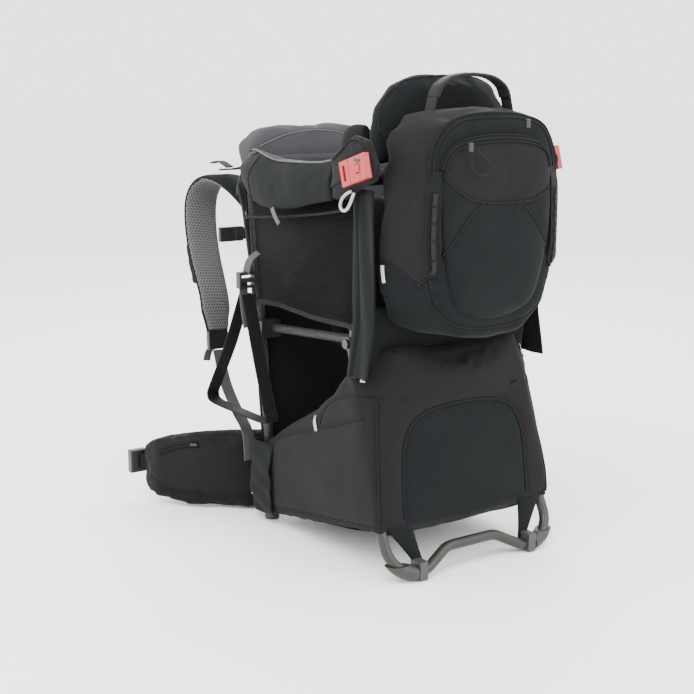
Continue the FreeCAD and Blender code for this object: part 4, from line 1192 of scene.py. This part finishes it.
def make_drool_pad():
    """The grey pad in front of the child, and the lining below it."""
    low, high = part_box("drool_pad")
    pad = soft_copy("drool_cushion", "drool_pad", "lining", 0.005, 10)
    inflate(pad, 0.008)
    wrinkle(pad, 0.0016, 0.07, 21)
    co = coordinates(pad.data)
    co[:, 2] -= 0.004 * np.clip((np.abs(co[:, 0]) - 0.09) / 0.04, 0, 1)
    set_coordinates(pad.data, co)
    centres, directions = faces_of(pad)
    paint(pad, "charcoal", (directions[:, 1] > 0.45) & (centres[:, 2] < high.z - 0.03))
    box_weave(pad)
    put(pad, "frame", "drool_pad")
    skin = Skin(pad)
    edge = [(x, low.y - 0.01, high.z - 0.014 - 0.024 * (x / 0.11) ** 2)
            for x in np.linspace(-0.112, 0.112, 9)]
    seam("drool_seam", skin, edge, (0, 1, 0), "frame", 0.0012, "grey_piping")
    rows = []
    for share in np.linspace(0, 1, 18):
        z = high.z - 0.052 - 0.155 * share
        row = []
        for u in np.linspace(-1, 1, 40):
            inward = 0.026 * (1 - abs(u) ** 4)
            fold = 0.002 * math.sin(9 * u + 6 * share)
            row.append(Vector((u * 0.126, low.y - 0.034 + inward + fold - 0.010 * share, z)))
        rows.append(row)
    put(surface("cockpit_lining", rows, 0.0024, "lining"), "frame")


def make_headrest():
    """The tall padded wall behind the child's head, dark outside and grey inside, with side wings."""
    low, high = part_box("headrest")
    pad = soft_copy("headrest_pad", "headrest", "charcoal", 0.005, 8)
    co = coordinates(pad.data)
    share = np.clip((co[:, 2] - low.z - 0.03) / (high.z - low.z), 0, 1)
    co[:, 1] += 0.016 * (co[:, 0] / high.x) ** 2 * share
    set_coordinates(pad.data, co)
    inflate(pad, 0.007)
    wrinkle(pad, 0.0014, 0.07, 31)
    _, directions = faces_of(pad)
    paint(pad, "lining", (directions[:, 1] > 0.25))
    box_weave(pad)
    put(pad, "frame", "headrest")
    skin = Skin(pad)
    ring = mirrored([(-0.121, 0, 0.640), (-0.113, 0, 0.676), (-0.089, 0, 0.704), (-0.060, 0, 0.717),
                     (0, 0, 0.721)])
    ring = [Vector((p.x, low.y - 0.02, p.z)) for p in ring]
    seam("headrest_seam", skin, ring, (0, 1, 0), "frame", 0.0015)
    front = [Vector((p.x * 1.03, high.y + 0.05, p.z + 0.004)) for p in ring]
    line, _ = skin.lay(front, (0, -1, 0), 0.0008)
    put(tube("headrest_piping", line, 0.0026, "grey_piping"), "frame")
    for side, word in SIDES:
        start = Vector((side * 0.119, high.y + 0.004, high.z - 0.098))
        line = smooth_line([start, start + Vector((side * 0.002, 0.024, -0.004)),
                            start + Vector((0, 0.046, -0.010)),
                            start + Vector((-side * 0.006, 0.060, -0.022))], 0.004)
        scale = [0.62 + 0.38 * math.sin(math.pi * min(1, 0.12 + i / (len(line) - 1) * 0.8))
                 for i in range(len(line))]
        wing = sweep(f"head_wing_{word}", line, round_section(0.052, 0.024, 18, 2.2), "charcoal", Z_AXIS,
                     scale=scale)
        modify(wing, "SUBSURF", levels=1)
        box_weave(wing)
        put(wing, "frame")


# ---------------------------------------------------------------- harness


def harness_points(shares):
    """Points on the right shoulder strap's middle, as shares of its box."""
    return [spot("shoulder_strap_right", u, v, w) for u, v, w in shares]


STRAP_LINE = [
    (0.19, 0.03, 0.478), (0.235, 0.100, 0.591), (0.296, 0.237, 0.716), (0.364, 0.376, 0.830),
    (0.432, 0.536, 0.927),
    (0.500, 0.690, 0.971), (0.556, 0.813, 0.967), (0.599, 0.914, 0.915), (0.630, 0.962, 0.826),
    (0.660, 0.941, 0.704),
    (0.698, 0.856, 0.559), (0.735, 0.738, 0.425), (0.765, 0.610, 0.300), (0.790, 0.493, 0.170),
    (0.809, 0.429, 0.020), (0.815, 0.405, -0.045),
]


def make_shoulder_straps():
    """Padded straps: dark cloth outside, dotted spacer mesh inside, bound edges between them."""
    for side, word in SIDES:
        line = smooth_line([(side * p.x, p.y, p.z) for p in harness_points(STRAP_LINE)], 0.005)
        last = len(line) - 1
        scale = [(0.86 + 0.14 * math.sin(math.pi * min(1.0, i / last * 1.15))) * (1 - 0.3 * max(0.0,
                i / last - 0.93) / 0.07)
                 for i in range(last + 1)]
        section = round_section(0.060, 0.0155, 28, 3.0)
        pad = sweep(f"shoulder_pad_{word}", line, section, "charcoal", X_AXIS, scale=scale)
        sides = len(section)
        index = np.arange(len(pad.data.polygons)) % sides
        inner = (index >= sides // 2) if np.array(section)[3, 1] > 0 else (index < sides // 2)
        inner = ~inner
        inner[last * sides:] = False
        paint(pad, "spacer", inner)
        put(pad, "harness", f"shoulder_strap_{word}")
        for edge in (-1, 1):
            bound = [p + X_AXIS * edge * 0.0292 * s for p, s in zip(line, scale)]
            put(tube(f"shoulder_edge_{word}_{'in' if edge * side < 0 else 'out'}", bound, 0.0026,
                     "charcoal"), "harness")
        run = [p + Vector((0, 0.0082, 0.002)) for p in line[last // 2:] if 0.312 < p.z < 0.50]
        band = sweep(f"shoulder_webbing_{word}", run, round_section(0.020, 0.0022, 14, 5), "black_webbing")
        put(band, "harness")


def make_strap_pocket():
    """The stretch pocket on the outside of the left strap."""
    pocket = soft_copy("strap_pocket_pouch", "strap_pocket", "stretch", 0.004, 6)
    inflate(pocket, 0.005)
    box_weave(pocket)
    put(pocket, "harness", "strap_pocket")


def make_harness():
    """The yoke, the straps' webbing, and the sternum strap."""
    yoke = soft_copy("yoke_plate", "harness_yoke", "charcoal", 0.0045, 3)
    inflate(yoke, 0.003)
    box_weave(yoke)
    put(yoke, "harness", "harness_yoke")
    make_shoulder_straps()
    make_strap_pocket()
    _, end_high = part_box("strap_ends")
    low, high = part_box("lower_straps")
    for side, word in SIDES:
        x = side * (high.x - 0.010)
        line = [(side * (end_high.x - 0.018), high.y - 0.001, high.z),
                (side * (end_high.x - 0.016), high.y - 0.028, high.z - 0.052),
                (side * (high.x - 0.0125), high.y - 0.069, high.z - 0.093),
                (x, low.y + 0.009, low.z + 0.048), (x, low.y + 0.001, low.z)]
        slack = ("frame", "harness", (x, low.y + 0.004, low.z + 0.020), (x, high.y - 0.020, high.z - 0.020))
        strap = webbing(f"lower_webbing_{word}", line, 0.020, 0.0022, "grey_webbing", slack, X_AXIS)
        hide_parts("lower_straps")
        sewn = [p + Y_AXIS * 0.0014 for p in smooth_line(line[-2:], 0.0019)]
        for letter, offset in (("a", -0.007), ("b", 0.007)):
            put(stitches(f"lower_box_{word}_{letter}", sewn, [Y_AXIS] * len(sewn), offset=offset), "frame")
        tail = [(side * (end_high.x - 0.02), high.y + 0.004, high.z + 0.004),
                (side * (end_high.x - 0.008), high.y + 0.012, high.z - 0.002),
                (side * (end_high.x - 0.004), high.y + 0.016, high.z - 0.020)]
        put(sweep(f"strap_loop_{word}", smooth_line(tail, 0.003), round_section(0.014, 0.002, 12, 5),
                  "grey_webbing"), "harness")
        make_load_lifter(side, word)
    low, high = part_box("sternum_webbing")
    y, z = (low.y + high.y) / 2, (low.z + high.z) / 2
    give = ("sternum_plug", "harness", (low.x + 0.010, y, z), (high.x - 0.010, y, z))
    webbing("sternum_band", [(low.x, y, z), (0, y + 0.001, z - 0.001), (high.x + 0.012, y, z)], 0.020, 0.0024,
            "black_webbing", give, Z_AXIS, nodes=("sternum_webbing",))


def make_load_lifter(side, word):
    """Webbing from the strap's crest back to the frame, with a free tail and a grey pull."""
    low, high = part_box("load_lifters")
    line = [(side * (high.x - 0.010), high.y, low.z + 0.003),
            (side * (high.x - 0.014), high.y - 0.036, low.z + 0.006),
            (side * (high.x - 0.016), low.y, high.z - 0.002),
            (side * (high.x - 0.018), low.y - 0.065, high.z + 0.008)]
    x, z = side * (high.x - 0.014), (low.z + high.z) / 2
    across_gap = ("frame", "harness", (x, low.y - 0.050, z), (x, high.y - 0.020, z))
    strap = webbing(f"load_lifter_{word}", line, 0.018, 0.0022, "black_webbing", across_gap, X_AXIS)
    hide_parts("load_lifters")
    tail = [(side * (high.x - 0.012), high.y - 0.020, low.z + 0.008),
            (side * (high.x - 0.008), high.y + 0.006, low.z + 0.017),
            (side * (high.x - 0.004), high.y + 0.026, low.z + 0.013)]
    put(sweep(f"lifter_tail_{word}", smooth_line(tail, 0.004), round_section(0.016, 0.0018, 12, 5),
              "black_webbing"), "harness")
    toggle = [(side * (high.x - 0.006), low.y - 0.006, high.z - 0.006),
              (side * (high.x - 0.002), low.y + 0.004, high.z - 0.030),
              (side * (high.x - 0.003), low.y + 0.010, high.z - 0.050)]
    put(sweep(f"lifter_toggle_{word}", smooth_line(toggle, 0.004), round_section(0.009, 0.0022, 12, 5),
              "grey_webbing"), across_gap)


def make_hipbelt():
    """The padded wings with their zipped pockets, and the loops at their roots."""
    for side, word in SIDES:
        node = f"hip_wing_{word}"
        low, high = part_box(node)
        wing = soft_copy(f"hip_pad_{word}", node, "ripstop", 0.005, 8)
        rough = Skin(wing)
        middle = (high.y + low.y) / 2
        outer = side * max(abs(low.x), abs(high.x))
        zip_line = [(outer, low.y + 0.050, high.z - 0.022), (outer, middle, high.z - 0.030),
                    (outer, high.y - 0.055, high.z - 0.044)]
        skirt = [(outer, low.y + 0.045, low.z + 0.022), (outer, middle + 0.01, low.z + 0.026),
                 (outer, high.y - 0.04, low.z + 0.044)]
        outward = (-side, 0.35, 0)
        held = [rough.lay(zip_line, outward)[0], rough.lay(skirt, outward)[0]]
        inflate(wing, 0.011, held, 5.0)
        wrinkle(wing, 0.002, 0.05, 41 + side)
        crease(wing, held)
        centres, directions = faces_of(wing)
        toward = directions[:, 0] * side - 0.35 * directions[:, 1]
        paint(wing, "charcoal", (toward < 0.1) | (centres[:, 2] < low.z + 0.028))
        paint(wing, "spacer",
              (toward < -0.55) & (centres[:, 2] > low.z + 0.02) & (centres[:, 2] < high.z - 0.02))
        box_weave(wing)
        put(wing, f"hipbelt_{word}", node)
        skin = Skin(wing)
        zip_fastener(f"hip_zip_{word}", skin, zip_line, outward, f"hipbelt_{word}", 0.012)
        seam(f"hip_seam_{word}", skin, skirt, outward, f"hipbelt_{word}", 0.0012)
        pull_line, ups = skin.lay([zip_line[0], Vector(zip_line[0]) + Vector((0, 0.012, 0.001))], outward,
                                  0.0042, 0.003)
        put(sweep(f"hip_zip_pull_{word}", pull_line, round_section(0.005, 0.0022, 10, 4), "black_plastic",
                  across_of(pull_line, ups)), f"hipbelt_{word}")
        buckle_low, buckle_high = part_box(f"hip_buckle_{word}")
        tip = (buckle_low + buckle_high) / 2
        strap = [tip + Vector((-side * 0.012, -0.024, 0)), tip + Vector((-side * 0.004, -0.010, 0)),
                 tip + Vector((0, 0.002, 0))]
        put(sweep(f"hip_webbing_{word}", smooth_line(strap, 0.003), round_section(0.026, 0.0024, 14, 5),
                  "black_webbing", Z_AXIS),
            f"hipbelt_{word}")
        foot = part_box("frame_feet")
        for index, (forward, drop) in enumerate(((0.020, 0.030), (0.034, 0.040))):
            centre = Vector((side * (foot[1].x - 0.004), foot[1].y + forward, drop))
            ring = [centre + Vector((0, 0.010 * math.cos(a), 0.009 * math.sin(a)))
                    for a in np.linspace(0.3, 5.9, 24)]
            put(sweep(f"base_loop_{word}_{index}", ring, round_section(0.006, 0.0020, 10, 4),
                      "pale_webbing"), "frame")


# ---------------------------------------------------------------- child seat


def make_seat():
    """The child's seat with its padded back, harness straps and crotch strap."""
    for node, name, look, cap in (("child_seat", "seat_cushion", "charcoal", 0.007),
                                  ("seat_back_pad", "seat_back_cushion", "lining", 0.005)):
        pad = soft_copy(name, node, look, 0.005, 6)
        inflate(pad, cap)
        wrinkle(pad, 0.0012, 0.06, 51)
        box_weave(pad)
        put(pad, "seat", node)
    buckle_low, buckle_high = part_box("child_buckle")
    low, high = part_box("child_straps")
    for side, word in SIDES:
        line = [(side * 0.042, low.y, high.z - 0.004), (side * 0.046, low.y + 0.029, high.z - 0.020),
                (side * 0.042, low.y + 0.057, high.z - 0.070),
                (side * 0.020, buckle_low.y + 0.003, buckle_high.z - 0.004)]
        strap = webbing(f"child_strap_{word}", line, 0.020, 0.003, "black_webbing", "seat", X_AXIS)
        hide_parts("child_straps")
    webbing("crotch_strap",
            [(0, high.y - 0.008, low.z - 0.004), (0, high.y - 0.006, low.z + 0.016),
             (0, high.y - 0.006, buckle_low.z + 0.004)],
            0.020, 0.003, "black_webbing", "seat", X_AXIS)


# ---------------------------------------------------------------- stirrups


def make_stirrups():
    """The child's foot stirrups: a wide front band, a tread and a return strap."""
    low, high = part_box("stirrup_loop_right")
    depth, height = high.y - low.y, high.z - low.z
    shares = [(0.40, 0.97), (0.655, 0.54), (0.94, 0.145), (0.985, 0.06), (0.91, 0.012), (0.50, 0.006),
              (0.06, 0.012),
              (0.012, 0.06), (0.045, 0.13), (0.20, 0.53), (0.355, 0.97)]
    for side, word in SIDES:
        x = side * (low.x + high.x) / 2
        line = [(x, low.y + depth * u, low.z + height * v) for u, v in shares]
        webbing(f"stirrup_band_{word}", line, 0.022, 0.0024, "black_webbing", f"stirrup_{word}", X_AXIS,
                nodes=(f"stirrup_loop_{word}",))
        lock_low, lock_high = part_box(f"stirrup_lock_{word}")
        y = (lock_low.y + lock_high.y) / 2
        hang = [(x, y, lock_high.z - 0.002), (x - side * 0.006, y - 0.002, lock_high.z + 0.018),
                (x - side * 0.020, y - 0.006, lock_high.z + 0.030)]
        put(sweep(f"stirrup_hanger_{word}", smooth_line(hang, 0.003), round_section(0.020, 0.0022, 12, 5),
                  "grey_webbing", Y_AXIS), "frame")
        tail = [(x + side * 0.002, y + 0.006, lock_low.z + 0.010),
                (x + side * 0.006, y - 0.004, lock_low.z - 0.026),
                (x + side * 0.004, y - 0.010, lock_low.z - 0.062)]
        put(sweep(f"stirrup_tail_{word}", smooth_line(tail, 0.004), round_section(0.016, 0.0018, 12, 5),
                  "grey_webbing"), f"stirrup_{word}")


# ---------------------------------------------------------------- gussets


def make_gussets():
    """The dark cloth tongues between the base's rear corners and the clips on the stand."""
    low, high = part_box("gussets")
    for side, word in SIDES:
        rows = []
        for share in np.linspace(0, 1, 20):
            z = low.z - 0.010 + (high.z - low.z + 0.024) * share
            y = low.y + (high.y - low.y + 0.002) * share - 0.002
            half = 0.008 + 0.016 * share ** 1.3
            middle = 0.100 + 0.028 * share
            row = [Vector((side * (middle + half * u), y + 0.0035 * (u * u - 0.4) * share, z))
                   for u in np.linspace(-1, 1, 10)]
            rows.append(row if side > 0 else row[::-1])
        cloth = surface(f"gusset_{word}", rows, 0.002, "charcoal")
        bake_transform(cloth)
        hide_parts("gussets")


# ---------------------------------------------------------------- daypack


def pack_spot(x, z):
    """A point behind the daypack's rear face, from shares of its half width and of its height."""
    low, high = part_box("daypack")
    return Vector((x * high.x, low.y - 0.02, low.z + z * (high.z - low.z)))


MAIN_ZIP = [(-0.745, 0.690), (-0.725, 0.78), (-0.65, 0.855), (-0.52, 0.905), (-0.28, 0.930), (0, 0.936)]
POCKET_ZIP = [(-0.655, 0.725), (-0.61, 0.785), (-0.50, 0.822), (-0.30, 0.842), (0, 0.850)]
POCKET_SEAM = [(-0.655, 0.700), (-0.55, 0.650), (-0.40, 0.610), (-0.21, 0.590), (0.10, 0.582),
               (0.42, 0.590), (0.655, 0.640)]
LOWER_SEAM = [(-0.21, 0.590), (-0.40, 0.525), (-0.58, 0.42), (-0.70, 0.34), (-0.79, 0.25)]
FOOT_SEAM = [(-0.76, 0.27), (-0.68, 0.16), (-0.50, 0.085), (-0.25, 0.055), (0, 0.050)]


def both_sides(line):
    """A left-hand line in shares, carried on to the right as its mirror image."""
    return line + [(-x, z) for x, z in reversed(line) if x < -1e-6]


def make_daypack():
    """The daypack: ripstop sides with a dobby lower panel, two zips, and a scooped front pocket."""
    low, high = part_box("daypack")
    rear = (0, 1, 0)
    bag = soft_copy("daypack_bag", "daypack", "ripstop", 0.0055, 16)
    rough = Skin(bag)
    lines = {"main": both_sides(MAIN_ZIP), "scoop": POCKET_SEAM, "lower": LOWER_SEAM,
             "lower_far": [(-x, z) for x, z in LOWER_SEAM], "foot": both_sides(FOOT_SEAM)}
    spots = {name: [pack_spot(x, z) for x, z in line] for name, line in lines.items()}
    held = [rough.lay(points, rear)[0] for points in spots.values()]
    diagonal = [(low.y + 0.083, low.z + 0.118), (low.y + 0.050, low.z + 0.103),
                (low.y + 0.020, low.z + 0.082), (low.y + 0.004, low.z + 0.070)]
    for side, _ in SIDES:
        held.append(rough.lay([(side * (high.x + 0.01), y, z) for y, z in diagonal], (-side, 0, 0))[0])
    inflate(bag, 0.013, held, 4.0)
    wrinkle(bag, 0.0024, 0.085, 61, (1, 1, 0.7))
    crease(bag, held, 0.0024)
    centres, directions = faces_of(bag)
    x_share = centres[:, 0] / high.x
    z_share = (centres[:, 2] - low.z) / (high.z - low.z)
    shares = np.stack([x_share, z_share], 1)
    facing = directions[:, 1] < -0.35
    scoop = POCKET_SEAM + both_sides(POCKET_ZIP)[::-1]
    below = LOWER_SEAM[::-1] + POCKET_SEAM[3:5] + [(-x, z) for x, z in LOWER_SEAM] + [(-x, z) for x,
            z in FOOT_SEAM] + FOOT_SEAM[::-1]
    paint(bag, "charcoal",
          facing & ~inside(shares, scoop) & inside(shares,
                                                   both_sides(MAIN_ZIP) + [(0.8, 0.2), (0.5, 0.02),
                                                           (-0.5, 0.02), (-0.8, 0.2)]))
    paint(bag, "dobby", facing & inside(shares, below))
    drop = low.z + 0.070 + (centres[:, 1] - low.y) * 0.58
    paint(bag, "dobby", (np.abs(directions[:, 0]) > 0.4) & (centres[:, 2] < drop))
    paint(bag, "charcoal", directions[:, 1] > 0.6)
    box_weave(bag)
    put(bag, "daypack", "daypack")
    panel = make_front_pocket(Skin(bag))
    skin = Skin(bag, panel)
    zip_fastener("main_zip", skin, spots["main"], rear, "daypack", 0.016, "zips")
    zip_fastener("pocket_zip", skin, [pack_spot(x, z) for x, z in both_sides(POCKET_ZIP)], rear, "daypack",
                 0.012)
    seam("scoop_seam", skin, spots["scoop"], rear, "daypack", 0.0016)
    for name in ("lower", "lower_far", "foot"):
        seam(f"daypack_{name}_seam", skin, spots[name], rear, "daypack", 0.0014)
    for side, word in SIDES:
        seam(f"daypack_side_seam_{word}", skin, [(side * (high.x + 0.01), y, z) for y, z in diagonal],
             (-side, 0, 0), "daypack", 0.0013)
        make_daisy_chain(side, word, skin)
    make_side_tag(skin)
    gather = [pack_spot(x, 0.985) + Vector((0, 0.10, 0)) for x in (-0.5, -0.25, 0, 0.25, 0.5)]
    seam("daypack_top_seam", skin, gather, (0, 0, -1), "daypack", 0.0014)


POCKET_OUTLINE = [(-0.50, 0.170), (-0.61, 0.320), (-0.67, 0.50), (-0.685, 0.68), (-0.63, 0.79),
                  (-0.49, 0.842),
                  (-0.26, 0.864), (0, 0.870)]
POCKET_FOOT = [(0.26, 0.105), (0, 0.090), (-0.26, 0.105)]
POCKET_DEPTH = 0.0125


def make_front_pocket(pack_skin):
    """The pocket on the daypack's rear face: a crowned pillow whose edges are drawn in to the pack."""
    outline = smooth_line([pack_spot(x, z) for x, z in both_sides(POCKET_OUTLINE) + POCKET_FOOT], 0.006,
                          closed=True)
    centre = sum(outline, Vector()) / len(outline)
    count = len(outline)
    points = []
    shares = [1.0, 0.985, 0.96, 0.92, 0.86, 0.78, 0.68, 0.56, 0.44, 0.32, 0.20, 0.08]
    for share in shares:
        ring, ups = pack_skin.lay([centre.lerp(p, share) for p in outline], (0, 1, 0), step=1.0, closed=True)
        lift = POCKET_DEPTH * math.sqrt(1 - share ** 7) - 0.0015
        points += [p + up * lift for p, up in zip(ring, ups)]
    faces = [(i * count + k, i * count + (k + 1) % count, (i + 1) * count + (k + 1) % count,
              (i + 1) * count + k)
             for i in range(len(shares) - 1) for k in range(count)]
    faces += [list(range(count))[::-1], list(range((len(shares) - 1) * count, len(shares) * count))]
    panel = from_faces("front_pocket_panel", points, faces, "charcoal")
    shape = bmesh.new()
    shape.from_mesh(panel.data)
    bmesh.ops.recalc_face_normals(shape, faces=shape.faces)
    shape.to_mesh(panel.data)
    shape.free()
    wrinkle(panel, 0.0014, 0.08, 71)
    centres, _ = faces_of(panel)
    low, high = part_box("daypack")
    places = np.stack([centres[:, 0] / high.x, (centres[:, 2] - low.z) / (high.z - low.z)], 1)
    paint(panel, "ripstop", inside(places, both_sides(POCKET_ZIP) + POCKET_SEAM[::-1]))
    foot = [(0.5, 0.45), (0.9, 0.2), (0.6, 0.0), (-0.6, 0.0), (-0.9, 0.2)]
    paint(panel, "dobby", inside(places, POCKET_SEAM[2:5] + foot + LOWER_SEAM[::-1][:4]))
    box_weave(panel)
    return put(panel, "daypack", "front_pocket")


def make_daisy_chain(side, word, skin):
    """Black webbing down the rear edge, with a narrower strip bar-tacked to it in a row of loops."""
    low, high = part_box("daisy_chains")
    rear = (0, 1, 0)
    line = [(side * 0.108, high.z + 0.004), (side * 0.110, high.z - 0.04), (side * 0.1110, low.z + 0.06),
            (side * 0.1085, low.z + 0.012)]
    points = [Vector((x, low.y - 0.05, z)) for x, z in line]
    flat, ups = skin.lay(points, rear, 0.0012)
    wide = across_of(flat, ups)
    base = sweep(f"daisy_base_{word}", flat, round_section(0.019, 0.0020, 14, 5), "black_webbing", wide)
    loops, bars = [], []
    run = 0.0
    for i, (point, up) in enumerate(zip(flat, ups)):
        run += (point - flat[i - 1]).length if i else 0.0
        loops.append(point + up * (0.0016 + 0.0022 * abs(math.sin(math.pi * run / 0.024))))
    strip = sweep(f"daisy_strip_{word}", loops[8:-2], round_section(0.0065, 0.0018, 12, 5),
                  "purple_webbing", wide[8:-2])
    heights = [(loop - point).length for loop, point in zip(loops, flat)]
    low_points = [i for i in range(9, len(loops) - 3) if heights[i] < min(heights[i - 1], heights[i + 1])]
    for i in low_points:
        reach = [loops[i] + wide[i] * a + ups[i] * 0.0012 for a in (-0.0045, -0.002, 0.002, 0.0045)]
        bars.append(tube(f"daisy_bar_{word}", reach, 0.0011, "thread"))
    put(join(f"daisy_chain_{word}", [base, strip, *bars]), "daypack", *(["daisy_chains"] if side > 0 else []))
    for edge in (-1, 1):
        lined = [p + w * edge * 0.0098 + u * 0.0002 for p, w, u in zip(flat, wide, ups)]
        put(tube(f"daisy_lip_{word}_{'a' if edge < 0 else 'b'}", lined, 0.0011, "thread"), "daypack")


def make_side_tag(skin):
    """The small white tag, left blank, sewn in the side seam."""
    low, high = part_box("daypack")
    points = [(-high.x - 0.01, high.y - 0.014, low.z + 0.108),
              (-high.x - 0.01, high.y - 0.017, low.z + 0.084)]
    line, ups = skin.lay(points, X_AXIS, 0.0022, 0.003)
    tag = sweep("side_tag", line, round_section(0.0055, 0.0012, 12, 5), "pale_webbing", across_of(line, ups))
    put(tag, "daypack")


def make_handle():
    """The haul handle: a padded band of webbing arched over the top of the pack."""
    low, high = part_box("haul_handle")
    y = (low.y + high.y) / 2
    line = smooth_line([(-0.066, y, low.z - 0.004), (-0.057, y, low.z + 0.012), (-0.034, y, high.z - 0.006),
                        (0, y, high.z - 0.0025),
                        (0.034, y, high.z - 0.006), (0.057, y, low.z + 0.012), (0.066, y, low.z - 0.004)],
                        0.004)
    count = len(line)
    scale = [1.0 + 0.12 * math.cos(2 * math.pi * i / (count - 1)) for i in range(count)]
    pad = sweep("handle_pad", line, round_section(0.022, 0.0058, 18, 3.4), "purple_webbing", Y_AXIS,
                scale=scale)
    rows = []
    for edge in (-0.007, 0.007):
        fine = smooth_line(line[::4], 0.0019)
        ups = [Vector((p.x * 3, 0, 0.2)).normalized() for p in fine]
        rows.append(stitches("handle_row", [p + u * 0.0030 for p, u in zip(fine, ups)], ups, offset=edge))
    put(join("haul_handle_band", [pad, *rows]), "handle", "haul_handle")
    pack_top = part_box("daypack")[1].z
    for side, word in SIDES:
        root = smooth_line([(side * 0.064, y, low.z + 0.006), (side * 0.068, y, low.z - 0.008),
                            (side * 0.074, y, pack_top - 0.022)], 0.004)
        put(sweep(f"handle_root_{word}", root, round_section(0.0215, 0.0042, 16, 4), "purple_webbing",
                  Y_AXIS), "daypack")


# ---------------------------------------------------------------- studio


def make_studio():
    """A pale floor that runs to the horizon, and soft light from above and both sides."""
    scene = bpy.context.scene
    reach = 30
    corners = [(-reach, -reach, 0), (reach, -reach, 0), (reach, reach, 0), (-reach, reach, 0)]
    floor = from_faces("floor", corners, [(0, 1, 2, 3)], "lining", False)
    graph = Graph("pale_floor", 0.7)
    place = graph.place()
    tone = graph.mix(graph.noise(place, 3), (0.93, 0.93, 0.93, 1), (0.96, 0.96, 0.96, 1))
    floor.data.materials.clear()
    floor.data.materials.append(graph.finish(tone, graph.noise(place, 300), 0.05, 0.0002))
    world = bpy.data.worlds.new("studio")
    world.use_nodes = True
    world.node_tree.nodes["Background"].inputs["Color"].default_value = (1, 1, 1, 1)
    world.node_tree.nodes["Background"].inputs["Strength"].default_value = 2.7
    scene.world = world
    for name, place, size, power in (("key", (-1.6, -0.9, 2.4), 1.4, 58),
                                     ("fill", (0.8, -2.2, 1.6), 1.6, 34), ("rim", (1.2, 1.6, 2.0), 1.2, 38),
                                     ("near", (-1.8, 0.8, 1.0), 1.2, 22)):
        data = bpy.data.lights.new(name, "AREA")
        data.size = size
        data.energy = power
        light = bpy.data.objects.new(name, data)
        light.location = place
        light.rotation_euler = (Vector((0, 0, 0.35)) - Vector(place)).to_track_quat("-Z", "Y").to_euler()
        scene.collection.objects.link(light)


def dress_cords():
    """The pull loops' looks, made after the materials."""
    for key, cord in cords.items():
        cord.data.materials.append(M["dark_cord" if key == "pocket" else "pale_cord"])


dress_cords()
dress_frame()
make_base()
make_wraps()
make_back()
make_side_walls()
make_apron()
make_rims()
make_rim_corners()
make_drool_pad()
make_headrest()
make_harness()
make_hipbelt()
make_seat()
make_stirrups()
make_gussets()
make_daypack()
make_handle()
make_studio()
